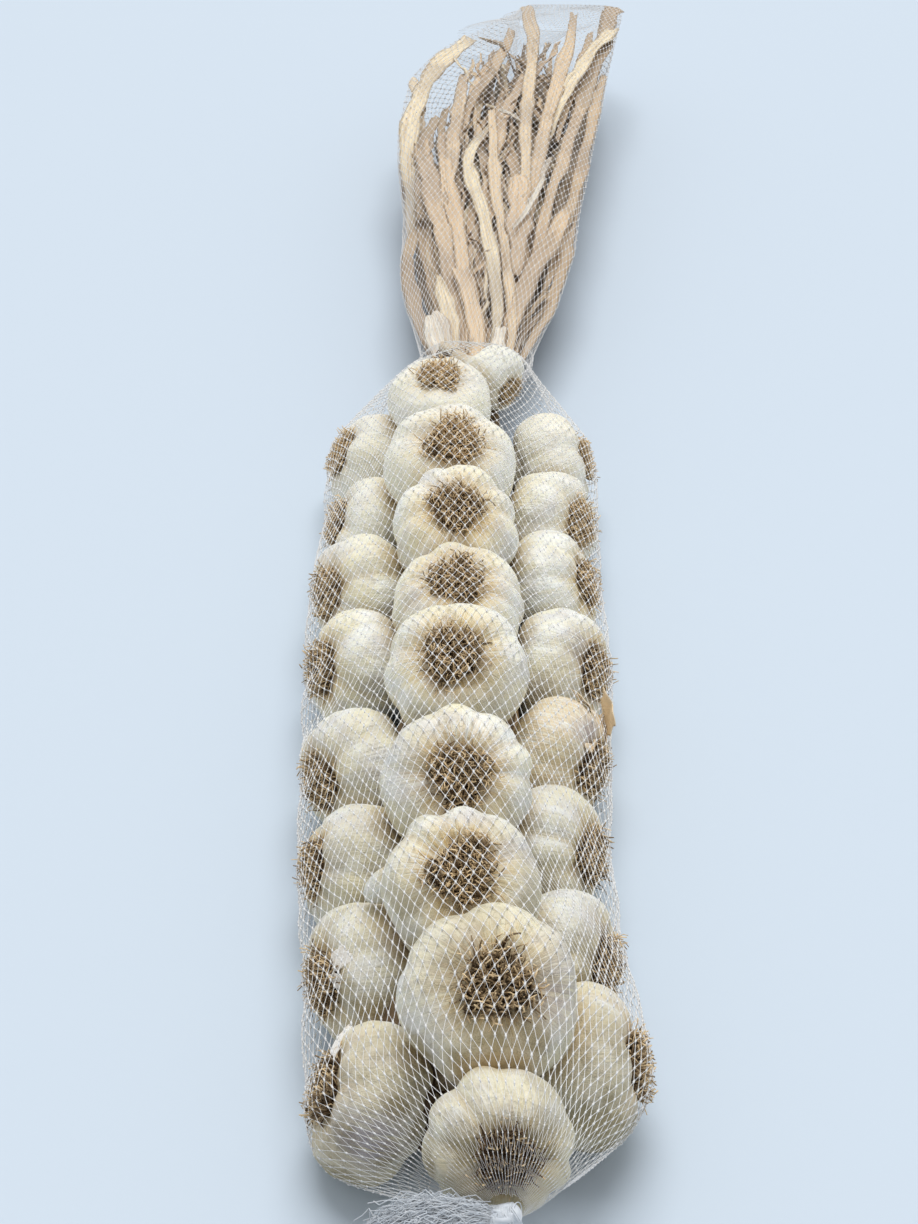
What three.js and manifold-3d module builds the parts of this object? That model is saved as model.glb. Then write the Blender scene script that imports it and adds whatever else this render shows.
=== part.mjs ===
// Garlic braid: heads of garlic plaited by their dry stems into a string, with the
// leaves left on, packed in a knitted net sleeve that is tied off at the near end.
//
// Millimetres. X runs across the string, +Y along it from the tied end to the leaf
// tips, +Z up. The braid lies on its plaited back with its middle row of heads on top.
// The origin is the middle of the bounding box, at the surface the braid lies on.

import * as THREE from 'three';
import { mergeVertices } from 'three/addons/utils/BufferGeometryUtils.js';
import Module from 'manifold-3d';

const wasm = await Module();
wasm.setup();

// ---------------------------------------------------------------- driving dimensions

const GAP = 0.4;                 // clear space between pieces that touch
const SLEEVE_THICK = 0.5;        // the knitted net, as a thin skin
const FLOOR_CLEAR = 1.0;         // lowest point of a head, which the net lies under

// Heads, row by row from the tied end to the leaves. `along` and `across` place the
// middle of a head, `size` is its widest diameter, `lean` tips its roots toward the
// tied end, and `lift` raises the roots of a side head above level.
const CENTRE = {
  along: [44, 96, 152, 215, 266, 318, 370, 427],
  across: [11, 2, 0, 0, 0, -1, -3, -8],
  height: [67, 64, 62, 63, 57, 59, 57, 55],
  size: [57, 55, 55, 56, 54, 55, 57, 48],
  lean: [32, 28, 38, 28, 12, 22, 20, 2],
  side: [6, 0, 4, -6, 0, 2, 4, 0],
};
const LEFT = {
  along: [36, 90, 145, 197, 262, 315, 367, 422],
  across: [-29, -33, -38, -39, -42, -42, -41, -41],
  size: [52, 52, 51, 53, 54, 52, 50, 50],
  lean: [0, 25, 12, 30, 20, 22, 2, 0],
  lift: [20, 14, 16, 8, 20, 18, 20, 24],
};
const RIGHT = {
  along: [48, 100, 155, 206, 263, 318, 370, 419],
  across: [44, 39, 37, 40, 43, 42, 43, 45],
  size: [55, 52, 51, 52, 54, 52, 52, 50],
  lean: [2, 20, 22, 28, 22, 6, 26, -8],
  lift: [10, 10, 14, 10, 16, 20, 20, 14],
};
const END_HEAD = { across: 13, along: -4, height: 52, size: 46, lean: 57, side: 9 };
const SMALL_HEAD = { across: 17, along: 458, height: 49, size: 34, turn: 40, lift: -12 };

// Stems: three strands plaited along the back, thicker toward the leaves.
const PLAIT_START = 60;
const PLAIT_END = 450;
const PLAIT_PITCH = 120;         // length in which a strand crosses over and comes back
const PLAIT_SWING = [5, 8];      // how far a strand swings to each side, at start and end
const STRAND_RADIUS = [2.4, 3.8];
const STRAND_RISE = 1.4;         // how far a strand passes over and under, in its radii
const STEPS_PER_PITCH = 12;

// Leaves: a bundle that is narrow where it leaves the plait and fans out.
const LEAF_START = 455;
const LEAF_END = 900;
const LEAF_RAGGED = 34;          // how unevenly the leaf tips end

// Net: open past the leaf tips, gathered and tied in front of the end head.
const SLEEVE_WAIST = 478;        // where it is drawn in between the heads and the leaves
const SLEEVE_END = 940;
const SLEEVE_DIRECTIONS = 20;
const SLEEVE_STEP = 38;

// ---------------------------------------------------------------- helpers

const rad = THREE.MathUtils.degToRad;
const lerp = THREE.MathUtils.lerp;

// A repeatable source of unevenness: the same seed gives the same series.
function series(seed) {
  let state = seed * 2654435761 % 4294967296;
  return () => {
    state = (state * 1664525 + 1013904223) % 4294967296;
    return state / 4294967296;
  };
}

// Values given at a few stations, joined by straight lines.
function along(stations, at) {
  const last = stations.length - 1;
  if (at <= stations[0][0]) return stations[0].slice(1);
  if (at >= stations[last][0]) return stations[last].slice(1);
  const i = stations.findIndex((station) => station[0] > at) - 1;
  const t = (at - stations[i][0]) / (stations[i + 1][0] - stations[i][0]);
  return stations[i].slice(1).map((value, k) => lerp(value, stations[i + 1][k + 1], t));
}

function surface(points, faces) {
  const geometry = new THREE.BufferGeometry();
  geometry.setAttribute('position',
    new THREE.Float32BufferAttribute(points.flatMap((p) => p.toArray()), 3));
  geometry.setIndex(faces);
  return geometry;
}

// A closed skin over a stack of rings, each with the same number of points, with a
// single point before the first ring and one after the last.
function skin(rings, first, last) {
  const count = rings[0].length;
  const points = [first, ...rings.flat(), last];
  const faces = [];
  const at = (ring, k) => 1 + ring * count + (k % count);
  for (let k = 0; k < count; k++) {
    faces.push(0, at(0, k + 1), at(0, k));
    for (let ring = 0; ring + 1 < rings.length; ring++) {
      faces.push(at(ring, k), at(ring, k + 1), at(ring + 1, k + 1));
      faces.push(at(ring, k), at(ring + 1, k + 1), at(ring + 1, k));
    }
    faces.push(points.length - 1, at(rings.length - 1, k), at(rings.length - 1, k + 1));
  }
  return surface(points, faces);
}

// A closed skin over rings of which the last joins the first again, such as a tube's
// outside and inside.
function loop(rings) {
  const count = rings[0].length;
  const faces = [];
  const at = (ring, k) => (ring % rings.length) * count + (k % count);
  for (let ring = 0; ring < rings.length; ring++) {
    for (let k = 0; k < count; k++) {
      faces.push(at(ring, k), at(ring, k + 1), at(ring + 1, k + 1));
      faces.push(at(ring, k), at(ring + 1, k + 1), at(ring + 1, k));
    }
  }
  return surface(rings.flat(), faces);
}

function toSolid(geometry) {
  const plain = geometry.clone();
  plain.deleteAttribute('normal');
  plain.deleteAttribute('uv');
  const merged = mergeVertices(plain, 1e-4);
  return new wasm.Manifold(new wasm.Mesh({
    numProp: 3,
    vertProperties: merged.attributes.position.array,
    triVerts: Uint32Array.from(merged.index.array),
  }));
}

function fromSolid(solid) {
  const mesh = solid.getMesh();
  const geometry = new THREE.BufferGeometry();
  geometry.setAttribute('position',
    new THREE.Float32BufferAttribute(Float32Array.from(mesh.vertProperties), 3));
  geometry.setIndex(Array.from(mesh.triVerts));
  return geometry;
}

// ---------------------------------------------------------------- a head of garlic

// Outline of a head as [place on its axis, radius], both for a head of radius 1 with
// its roots up: the tuft of cut roots, the crown of the cloves, the shoulder, the neck.
const HEAD_OUTLINE = [
  [0.74, 0.28], [0.58, 0.37], [0.46, 0.76], [0.08, 1.00],
  [-0.36, 0.90], [-0.74, 0.52], [-1.00, 0.22],
];
const TUFT_TOP = 0.78;
const NECK_RADIUS = 0.17;

// Each clove is a ridge with a groove on both sides, deepest round the middle.
function headGeometry(head, grow = 0) {
  const next = series(head.seed);
  const cloves = 6 + Math.floor(next() * 3);
  const sectors = cloves * 2;
  const swell = Array.from({ length: cloves }, () => 0.96 + 0.07 * next());
  const shift = Array.from({ length: cloves }, () => 0.25 * (next() - 0.5));
  const radius = head.size / 2;
  const outline = [...HEAD_OUTLINE, [-head.neck, NECK_RADIUS]];
  const rings = outline.map(([place, wide], ring) => {
    const lobed = ring >= 2 && ring <= 5;
    return Array.from({ length: sectors }, (_, k) => {
      const clove = Math.floor(k / 2);
      const isRidge = k % 2 === 0;
      const turn = (k + (isRidge ? shift[clove] : 0)) / sectors * Math.PI * 2;
      const full = isRidge ? swell[clove] : 0.93;
      const r = radius * wide * (lobed ? full : 0.97) + grow;
      const z = radius * place + grow * Math.sign(place) * (ring < 2 || ring === outline.length - 1);
      return new THREE.Vector3(r * Math.cos(turn), r * Math.sin(turn), z);
    });
  });
  const top = new THREE.Vector3(0, 0, radius * TUFT_TOP + grow);
  const tip = new THREE.Vector3(0, 0, -radius * head.neck - grow);
  return skin(rings.reverse(), tip, top);
}

function headMatrix(head) {
  const turn = new THREE.Quaternion().setFromUnitVectors(new THREE.Vector3(0, 0, 1), head.roots);
  return new THREE.Matrix4().compose(head.centre, turn, new THREE.Vector3(1, 1, 1));
}

function placedHead(head, grow = 0) {
  return headGeometry(head, grow).applyMatrix4(headMatrix(head));
}

// ---------------------------------------------------------------- the plaited stems

function plaitSize(y) {
  const t = THREE.MathUtils.clamp((y - PLAIT_START) / (PLAIT_END - PLAIT_START), 0, 1);
  const radius = lerp(STRAND_RADIUS[0], STRAND_RADIUS[1], t);
  const half = (STRAND_RISE + 1) * radius;
  return { swing: lerp(PLAIT_SWING[0], PLAIT_SWING[1], t), radius, half, bed: FLOOR_CLEAR + half };
}

// A strand swings from side to side once a pitch and passes over and under twice.
function strandPoint(y, phase) {
  const { swing, radius, bed } = plaitSize(y);
  const turn = (y / PLAIT_PITCH + phase) * Math.PI * 2;
  return new THREE.Vector3(
    swing * Math.sin(turn), y, bed + STRAND_RISE * radius * Math.sin(2 * turn));
}

function strandGeometry(phase) {
  const steps = (PLAIT_END - PLAIT_START) / PLAIT_PITCH * STEPS_PER_PITCH;
  const sides = 6;
  const rings = [];
  for (let i = 0; i <= steps; i++) {
    const y = lerp(PLAIT_START, PLAIT_END, i / steps);
    const { radius } = plaitSize(y);
    const middle = strandPoint(y, phase);
    rings.push(Array.from({ length: sides }, (_, k) => {
      const turn = -k / sides * Math.PI * 2;
      return new THREE.Vector3(
        middle.x + radius * Math.cos(turn), y, middle.z + radius * Math.sin(turn));
    }));
  }
  return skin(rings, strandPoint(PLAIT_START - 1, phase), strandPoint(PLAIT_END + 1, phase));
}

// How far a head's neck reaches before it meets the plait.
function neckReach(head) {
  const radius = head.size / 2;
  const spare = NECK_RADIUS * radius + 1.2;
  for (let reach = 1.08; reach < 1.9; reach += 0.02) {
    const tip = head.centre.clone().addScaledVector(head.roots, -reach * radius);
    const plait = plaitSize(tip.y);
    const dx = tip.x / (plait.swing + plait.radius + spare);
    const dz = (tip.z - plait.bed) / (plait.half + spare);
    if (dx * dx + dz * dz < 1) return Math.max(1.08, reach - 0.02);
  }
  return 1.9;
}

// ---------------------------------------------------------------- heads in their places

function makeHeads() {
  const heads = [];
  const add = (name, size, centre, roots) => {
    heads.push({ name, size, centre, roots: roots.normalize(), seed: heads.length + 3 });
  };
  const upright = (lean, side) => new THREE.Vector3(
    Math.sin(rad(side)), -Math.sin(rad(lean)), Math.cos(rad(lean)));
  const sideways = (hand, lean, lift) => new THREE.Vector3(
    hand * Math.cos(rad(lift)) * Math.cos(rad(lean)),
    -Math.cos(rad(lift)) * Math.sin(rad(lean)), Math.sin(rad(lift)));
  const end = END_HEAD;
  add('head_end', end.size, new THREE.Vector3(end.across, end.along, end.height),
    upright(end.lean, end.side));
  for (let row = 0; row < CENTRE.along.length; row++) {
    const c = CENTRE;
    add(`head_centre_${row + 1}`, c.size[row],
      new THREE.Vector3(c.across[row], c.along[row], c.height[row]),
      upright(c.lean[row], c.side[row]));
  }
  for (const [label, column, hand] of [['left', LEFT, -1], ['right', RIGHT, 1]]) {
    for (let row = 0; row < column.along.length; row++) {
      add(`head_${label}_${row + 1}`, column.size[row],
        new THREE.Vector3(column.across[row], column.along[row], column.size[row] / 2),
        sideways(hand, column.lean[row], column.lift[row]));
    }
  }
  const small = SMALL_HEAD;
  add('head_small', small.size, new THREE.Vector3(small.across, small.along, small.height),
    sideways(1, small.turn, small.lift));
  return heads;
}

// Side heads lie on the surface: each is dropped until its lowest point is at its place.
function settle(head) {
  head.neck = 1.1;
  if (/left|right/.test(head.name)) {
    const geometry = placedHead(head);
    geometry.computeBoundingBox();
    head.centre.z += FLOOR_CLEAR - geometry.boundingBox.min.z;
  }
  head.neck = neckReach(head);
}

// Where two heads press together the later one has a flat, one gap clear of the other.
function pressHeads(heads) {
  const solids = heads.map((head) => toSolid(placedHead(head)));
  const reach = 80;
  for (let i = 0; i < heads.length; i++) {
    for (let j = i + 1; j < heads.length; j++) {
      if (heads[i].centre.distanceTo(heads[j].centre) > reach) continue;
      const grown = toSolid(placedHead(heads[i], GAP));
      if (grown.intersect(solids[j]).volume() > 0) {
        solids[j] = solids[j].subtract(grown);
      }
    }
  }
  return solids.map(fromSolid);
}

// The leaves part round the heads that stand among them.
function clearOfHeads(geometry, heads) {
  let solid = toSolid(geometry);
  for (const head of heads) solid = solid.subtract(toSolid(placedHead(head, GAP)));
  return fromSolid(solid);
}

// ---------------------------------------------------------------- the leaves

// Middle of the bundle and its half width and half height, along its length.
const LEAF_STATIONS = [
  [LEAF_START, 6, 22, 18, 15],
  [490, 9, 24, 22, 18],
  [540, 12, 26, 34, 21],
  [600, 16, 28, 43, 23],
  [700, 22, 30, 50, 25],
  [800, 28, 32, 56, 26],
  [LEAF_END, 34, 34, 60, 25],
];

function leafGeometry() {
  const sides = 26;
  const next = series(41);
  const ridge = Array.from({ length: sides }, (_, k) => (k % 2 ? 0.9 : 1.0) + 0.05 * (next() - 0.5));
  const ends = Array.from({ length: sides }, () => LEAF_RAGGED * (next() - 0.75));
  const levels = [LEAF_START, 480, 510, 550, 600, 660, 720, 790, 850, LEAF_END];
  const rings = levels.map((y, level) => {
    const [x, z, wide, high] = along(LEAF_STATIONS, y);
    return Array.from({ length: sides }, (_, k) => {
      const turn = -k / sides * Math.PI * 2;
      const scale = ridge[k] * (1 + 0.05 * (next() - 0.5));
      const isTip = level === levels.length - 1;
      return new THREE.Vector3(
        x + wide * scale * Math.cos(turn),
        y + (isTip ? ends[k] : 0),
        Math.max(z + high * scale * Math.sin(turn), FLOOR_CLEAR + 0.5));
    });
  });
  const middle = (y) => {
    const [x, z] = along(LEAF_STATIONS, y);
    return new THREE.Vector3(x, y, z);
  };
  return skin(rings, middle(LEAF_START), middle(LEAF_END - 0.6 * LEAF_RAGGED));
}

// ---------------------------------------------------------------- the net

// How far the given pieces reach in each direction across the string, in each slice
// between two stations: the largest value at their corners and edge crossings.
function reachOf(geometries, stations, directions) {
  const slices = stations.slice(1).map(() => directions.map(() => -Infinity));
  const note = (slice, x, z) => {
    directions.forEach(([ux, uz], k) => {
      slices[slice][k] = Math.max(slices[slice][k], ux * x + uz * z);
    });
  };
  const sliceAt = (y) => THREE.MathUtils.clamp(
    stations.findIndex((station) => station > y) - 1, 0, slices.length - 1);
  for (const geometry of geometries) {
    const p = geometry.attributes.position;
    const index = geometry.index.array;
    for (let i = 0; i < p.count; i++) note(sliceAt(p.getY(i)), p.getX(i), p.getZ(i));
    for (let i = 0; i < index.length; i++) {
      const a = index[i];
      const b = index[i % 3 === 2 ? i - 2 : i + 1];
      stations.forEach((y, s) => {
        if (s === 0 || s === stations.length - 1) return;
        const t = (y - p.getY(a)) / (p.getY(b) - p.getY(a));
        if (!(t > 0 && t < 1)) return;
        const x = lerp(p.getX(a), p.getX(b), t);
        const z = lerp(p.getZ(a), p.getZ(b), t);
        note(s - 1, x, z);
        note(s, x, z);
      });
    }
  }
  return slices;
}

// The tight skin round everything: flat strips, each square to its own direction, so
// that no strip cuts into what it goes round. It is made in two lengths, which meet at
// the waist: one round the heads, shut at the tied end, and one round the leaves.
function sleeveGeometries(contents, front) {
  const count = SLEEVE_DIRECTIONS;
  const step = Math.PI * 2 / count;
  const directions = Array.from({ length: count }, (_, k) => [Math.cos(-k * step), Math.sin(-k * step)]);
  const stations = [front, front + 5, front + 13, front + 26];
  const fill = (from, to, spacing) => {
    const pieces = Math.round((to - from) / spacing);
    for (let i = 1; i <= pieces; i++) stations.push(lerp(from, to, i / pieces));
  };
  fill(front + 26, SLEEVE_WAIST, SLEEVE_STEP);
  const waist = stations.length - 1;
  fill(SLEEVE_WAIST, SLEEVE_END, 2 * SLEEVE_STEP);
  const slices = reachOf(contents, stations, directions);
  const lastFull = slices.findLastIndex((slice) => Number.isFinite(slice[0]));
  for (let s = lastFull + 1; s < slices.length; s++) slices[s] = slices[lastFull];
  const reaches = stations.map((_, s) => directions.map((__, k) => Math.max(
    slices[Math.max(0, s - 1)][k], slices[Math.min(slices.length - 1, s)][k]) + GAP));
  const ring = (s, extra, shift = 0) => directions.map(([ux, uz], k) => {
    const after = (k + 1) % count;
    const [vx, vz] = directions[after];
    const a = reaches[s][k] + extra;
    const b = reaches[s][after] + extra;
    const det = ux * vz - uz * vx;
    return new THREE.Vector3((a * vz - b * uz) / det, stations[s] + shift, (b * ux - a * vx) / det);
  });
  const walls = (from, to, shift = 0) => {
    const outer = [];
    const inner = [];
    for (let s = from; s <= to; s++) {
      outer.push(ring(s, SLEEVE_THICK, s === from ? shift : 0));
      inner.unshift(ring(s, 0, s === from ? shift : 0));
    }
    return [...outer, ...inner];
  };
  const centreOf = (points) => points.reduce((sum, p) => sum.add(p), new THREE.Vector3())
    .divideScalar(points.length);
  const outerCap = ring(0, SLEEVE_THICK, -SLEEVE_THICK - GAP);
  const innerCap = ring(0, 0, -GAP);
  const round = skin([outerCap, ...walls(0, waist), innerCap], centreOf(outerCap), centreOf(innerCap));
  return { heads: round, leaves: loop(walls(waist, stations.length - 1, GAP)) };
}

// The rolled knot that ties the net off, with its turns as ridges.
function knotGeometry(place) {
  const turns = 3;
  const levels = 9;
  const sides = 10;
  const half = 8.5;
  const rings = Array.from({ length: levels }, (_, i) => {
    const t = (i + 1) / (levels + 1);
    const x = half * (2 * t - 1);
    const r = 5.2 * Math.sqrt(1 - (2 * t - 1) ** 2) + 0.6 * Math.cos(t * turns * Math.PI * 2);
    return Array.from({ length: sides }, (_, k) => {
      const turn = -k / sides * Math.PI * 2;
      return new THREE.Vector3(-x, r * Math.cos(turn), r * Math.sin(turn)).add(place);
    });
  });
  const end = (x) => new THREE.Vector3(x, 0, 0).add(place);
  return skin(rings, end(half), end(-half));
}

// The loose end of the net past the knot: gathered narrow, then frayed and wider.
function tailGeometry(start) {
  const path = new THREE.CatmullRomCurve3([
    start,
    start.clone().add(new THREE.Vector3(-9, -2, -3)),
    start.clone().add(new THREE.Vector3(-22, -5, -14)),
    start.clone().add(new THREE.Vector3(-34, -7, -33)),
  ]);
  const sides = 12;
  const levels = 8;
  const next = series(77);
  const rings = Array.from({ length: levels }, (_, i) => {
    const t = i / (levels - 1);
    const middle = path.getPoint(t);
    const forward = path.getTangent(t);
    const across = new THREE.Vector3(0, 1, 0).cross(forward).normalize();
    const level = forward.clone().cross(across);
    const wide = lerp(3.2, 11, t ** 0.8);
    return Array.from({ length: sides }, (_, k) => {
      const turn = k / sides * Math.PI * 2;
      const r = wide * ((k % 2 ? 0.82 : 1) + 0.08 * next());
      return middle.clone()
        .addScaledVector(across, r * Math.cos(turn))
        .addScaledVector(level, 0.7 * r * Math.sin(turn))
        .addScaledVector(forward, i === levels - 1 ? 6 * next() : 0);
    });
  });
  return skin(rings, start.clone(), path.getPoint(1));
}

// ---------------------------------------------------------------- the whole braid

const SKIN_COLOUR = 0xeee9dd;
const STEM_COLOUR = 0xcfb48a;
const LEAF_COLOUR = 0xd2b48a;
const NET_COLOUR = 0xf2f4f5;

function addPiece(group, name, geometry, colour, extra = {}) {
  const material = new THREE.MeshStandardMaterial({ color: colour, roughness: 0.8, metalness: 0, ...extra });
  const mesh = new THREE.Mesh(geometry, material);
  mesh.name = name;
  group.add(mesh);
}

function build() {
  const group = new THREE.Group();
  const heads = makeHeads();
  heads.forEach(settle);
  const headGeometries = pressHeads(heads);
  heads.forEach((head, i) => addPiece(group, head.name, headGeometries[i], SKIN_COLOUR));
  const strands = [0, 1 / 3, 2 / 3].map(strandGeometry);
  strands.forEach((geometry, i) => addPiece(group, `plait_strand_${i + 1}`, geometry, STEM_COLOUR));
  const nearLeaves = heads.filter((head) => head.centre.y > LEAF_START - 60);
  const leaves = clearOfHeads(leafGeometry(), nearLeaves);
  addPiece(group, 'leaf_bundle', leaves, LEAF_COLOUR);

  const contents = [...headGeometries, ...strands, leaves];
  const box = new THREE.Box3();
  headGeometries.forEach((geometry) => {
    geometry.computeBoundingBox();
    box.union(geometry.boundingBox);
  });
  const front = box.min.y;
  for (const [part, geometry] of Object.entries(sleeveGeometries(contents, front))) {
    addPiece(group, `net_sleeve_${part}`, geometry, NET_COLOUR, { transparent: true, opacity: 0.3 });
  }
  const knot = new THREE.Vector3(END_HEAD.across + 2, front - 7.5, END_HEAD.height - 3);
  addPiece(group, 'net_knot', knotGeometry(knot), NET_COLOUR);
  addPiece(group, 'net_tail', tailGeometry(knot.clone().add(new THREE.Vector3(-9, 0, -1))), NET_COLOUR);

  const whole = new THREE.Box3().setFromObject(group, true);
  group.position.set(-(whole.min.x + whole.max.x) / 2, -(whole.min.y + whole.max.y) / 2, -whole.min.z);
  return group;
}

export default build();
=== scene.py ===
# %% [markdown]
# # A braid of garlic in its net
#
# A garlic braid is many dry heads of garlic whose stems are plaited together, so that
# the roots of every head point outward. This one lies on its plaited back, with its
# leaves left on, in a tight white net that is knotted in front of the last head.
#
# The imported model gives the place, the size and the tilt of every head. Blender makes
# what the eye sees: papery skins, wiry roots, single leaves and the strands of the net.

# %% The frame
import math
import random

import bpy
import numpy as np
from mathutils import Euler, Matrix, Vector


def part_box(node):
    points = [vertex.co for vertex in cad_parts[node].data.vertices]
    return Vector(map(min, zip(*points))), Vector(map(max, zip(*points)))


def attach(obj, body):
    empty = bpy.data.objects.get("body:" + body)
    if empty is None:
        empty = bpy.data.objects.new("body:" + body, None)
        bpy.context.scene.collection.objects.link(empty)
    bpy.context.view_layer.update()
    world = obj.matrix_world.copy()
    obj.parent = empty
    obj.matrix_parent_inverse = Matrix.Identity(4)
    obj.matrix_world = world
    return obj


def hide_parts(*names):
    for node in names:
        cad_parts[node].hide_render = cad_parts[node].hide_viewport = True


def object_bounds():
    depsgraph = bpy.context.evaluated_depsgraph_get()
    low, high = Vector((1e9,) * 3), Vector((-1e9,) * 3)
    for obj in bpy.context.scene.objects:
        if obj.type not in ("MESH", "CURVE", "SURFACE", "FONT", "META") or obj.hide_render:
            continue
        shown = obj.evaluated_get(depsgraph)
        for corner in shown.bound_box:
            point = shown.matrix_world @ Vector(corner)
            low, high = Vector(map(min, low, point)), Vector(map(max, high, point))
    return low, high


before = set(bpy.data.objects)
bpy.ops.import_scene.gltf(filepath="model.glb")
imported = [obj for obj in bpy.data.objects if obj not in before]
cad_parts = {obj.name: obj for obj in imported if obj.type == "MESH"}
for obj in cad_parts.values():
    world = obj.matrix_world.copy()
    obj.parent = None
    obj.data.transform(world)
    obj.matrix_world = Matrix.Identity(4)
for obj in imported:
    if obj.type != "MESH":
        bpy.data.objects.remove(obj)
cad_low, cad_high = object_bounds()
print("the frame is", [round(b - a, 3) for a, b in zip(cad_low, cad_high)], "m")

# %% [markdown]
# ## The camera
#
# The camera stands off the tied end and looks down along the braid, so that the near
# heads are large and the leaves run away from the eye. It is set first, because every
# later choice of detail depends on how near a piece is.

# %% The camera
EYE_BACK = 0.389                 # how far the eye is in front of the braid's tied end
EYE_HEIGHT = 0.580
LOOK_DOWN = 37                   # degrees below level

middle_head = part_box("head_centre_4")
eye_across = (middle_head[0][0] + middle_head[1][0]) / 2
eye = Vector((eye_across, cad_low[1] - EYE_BACK, EYE_HEIGHT))
bpy.ops.object.camera_add(location=eye, rotation=(math.pi / 2 - math.radians(LOOK_DOWN), 0, 0))
camera = bpy.context.object
camera.data.lens = 63
camera.data.sensor_width = 36
bpy.context.scene.camera = camera
print("the camera is", round(eye.z, 3), "m up")

# %% [markdown]
# ## Small tools
#
# A few helpers keep the later cells short. Each one does what a hand would do in the
# window: pick one object, apply a modifier, join pieces. Everything is deselected
# first, because an operator acts on all that is selected.


# %% Small tools
def choose(*objects):
    """Selects only these objects and makes the first one active."""
    bpy.ops.object.select_all(action="DESELECT")
    for thing in objects:
        thing.select_set(True)
    bpy.context.view_layer.objects.active = objects[0]


def modify(thing, kind, **settings):
    """Adds one modifier, sets it and applies it."""
    choose(thing)
    modifier = thing.modifiers.new(kind.title(), kind)
    for key, value in settings.items():
        setattr(modifier, key, value)
    bpy.ops.object.modifier_apply(modifier=modifier.name)


def join(parts, name):
    """Joins the parts into one object with this name."""
    choose(*parts)
    bpy.ops.object.join()
    whole = bpy.context.object
    whole.name = whole.data.name = name
    return whole


def points_of(thing):
    """The corners of a mesh as rows of x, y, z."""
    flat = np.empty(len(thing.data.vertices) * 3)
    thing.data.vertices.foreach_get("co", flat)
    return flat.reshape(-1, 3)


def put_points(thing, points):
    thing.data.vertices.foreach_set("co", np.asarray(points, dtype=np.float32).ravel())
    thing.data.update()


def unit(vectors, spare=0.0):
    """The same directions, one long. The spare keeps an empty one from dividing by zero."""
    return vectors / (np.linalg.norm(vectors, axis=-1, keepdims=True) + spare)


def note(thing, name, values):
    """Stores one number, or one vector, on every corner of a mesh."""
    values = np.asarray(values, dtype=np.float32)
    kind = "FLOAT_VECTOR" if values.ndim == 2 else "FLOAT"
    layer = thing.data.attributes.get(name) or thing.data.attributes.new(name, kind, "POINT")
    layer.data.foreach_set("vector" if values.ndim == 2 else "value", values.ravel())


def copy_of(thing, name):
    twin = thing.copy()
    twin.data = thing.data.copy()
    twin.name = twin.data.name = name
    bpy.context.collection.objects.link(twin)
    return twin


def mesh_object(name, corners, *face_sets):
    mesh = bpy.data.meshes.new(name)
    faces = [face for faces in face_sets for face in np.asarray(faces).tolist()]
    mesh.from_pydata(np.asarray(corners).tolist(), [], faces)
    thing = bpy.data.objects.new(name, mesh)
    bpy.context.collection.objects.link(thing)
    return thing


def finish_piece(thing, finish, slot, *replaced):
    """Smooths a piece and gives it its finish. Every piece rides on the braid."""
    thing.data.materials.append(finish)
    choose(thing)
    bpy.ops.object.shade_smooth()
    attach(thing, "root")
    if replaced:
        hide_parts(*replaced)


# %% [markdown]
# ## Materials: the shared effects
#
# Dry plant matter shows the same two things everywhere: long fibres that run one way,
# and broad patches where it dried darker. Both are made once, as node groups, and each
# material gives them its own scales.


# %% Node tools
def new_tree(name):
    material = bpy.data.materials.new(name)
    material.use_nodes = True
    tree = material.node_tree
    return material, tree, tree.nodes["Principled BSDF"]


def feed(tree, target, inputs):
    """Gives each input of a node a value, or the socket that feeds it."""
    for key, value in inputs.items():
        if isinstance(value, bpy.types.NodeSocket):
            tree.links.new(value, target.inputs[key])
        else:
            target.inputs[key].default_value = value


def node(tree, kind, inputs=None, **settings):
    new = tree.nodes.new("ShaderNode" + kind)
    for key, value in settings.items():
        setattr(new, key, value)
    feed(tree, new, inputs or {})
    return new


def math_node(tree, operation, first, second=0.0, clamp=False):
    new = node(tree, "Math", {0: first, 1: second}, operation=operation, use_clamp=clamp)
    return new.outputs[0]


def times(tree, first, second, clamp=False):
    return math_node(tree, "MULTIPLY", first, second, clamp)


def plus(tree, first, second):
    return math_node(tree, "ADD", first, second)


def joined(tree, *parts):
    """A vector from its x, y and z."""
    return node(tree, "CombineXYZ", dict(enumerate(parts))).outputs[0]


def noise(tree, place, scale, detail, **more):
    return node(tree, "TexNoise", {"Vector": place, "Scale": scale, "Detail": detail, **more}).outputs[0]


def told(tree, name, output="Fac"):
    """What a mesh tells about each of its corners."""
    return node(tree, "Attribute", attribute_name=name).outputs[output]


def blend(tree, factor, first, second):
    """Mixes two colours."""
    return node(tree, "Mix", {0: factor, 6: first, 7: second}, data_type="RGBA").outputs[2]


def tint(tree, colour, mask, strength, tone):
    """Lays a tone over the colour where the mask is."""
    return blend(tree, times(tree, mask, strength), colour, (*tone, 1))


def steps(tree, value, low, high):
    """Goes smoothly from 0 to 1 as the value goes from low to high."""
    new = node(tree, "MapRange", {0: value, 1: low, 2: high}, interpolation_type="SMOOTHSTEP")
    return new.outputs[0]


def bump(tree, strength, depth, height):
    return node(tree, "Bump", {"Strength": strength, "Distance": depth, "Height": height}).outputs[0]


def group_with(name, inputs, outputs):
    """A node group that takes a place and these numbers, and puts out these masks."""
    tree = bpy.data.node_groups.new(name, "ShaderNodeTree")
    tree.interface.new_socket("Place", in_out="INPUT", socket_type="NodeSocketVector")
    for label, value in inputs.items():
        socket = tree.interface.new_socket(label, in_out="INPUT", socket_type="NodeSocketFloat")
        socket.default_value = value
    for label in outputs:
        tree.interface.new_socket(label, in_out="OUTPUT", socket_type="NodeSocketFloat")
    return tree, tree.nodes.new("NodeGroupInput").outputs, tree.nodes.new("NodeGroupOutput")


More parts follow.
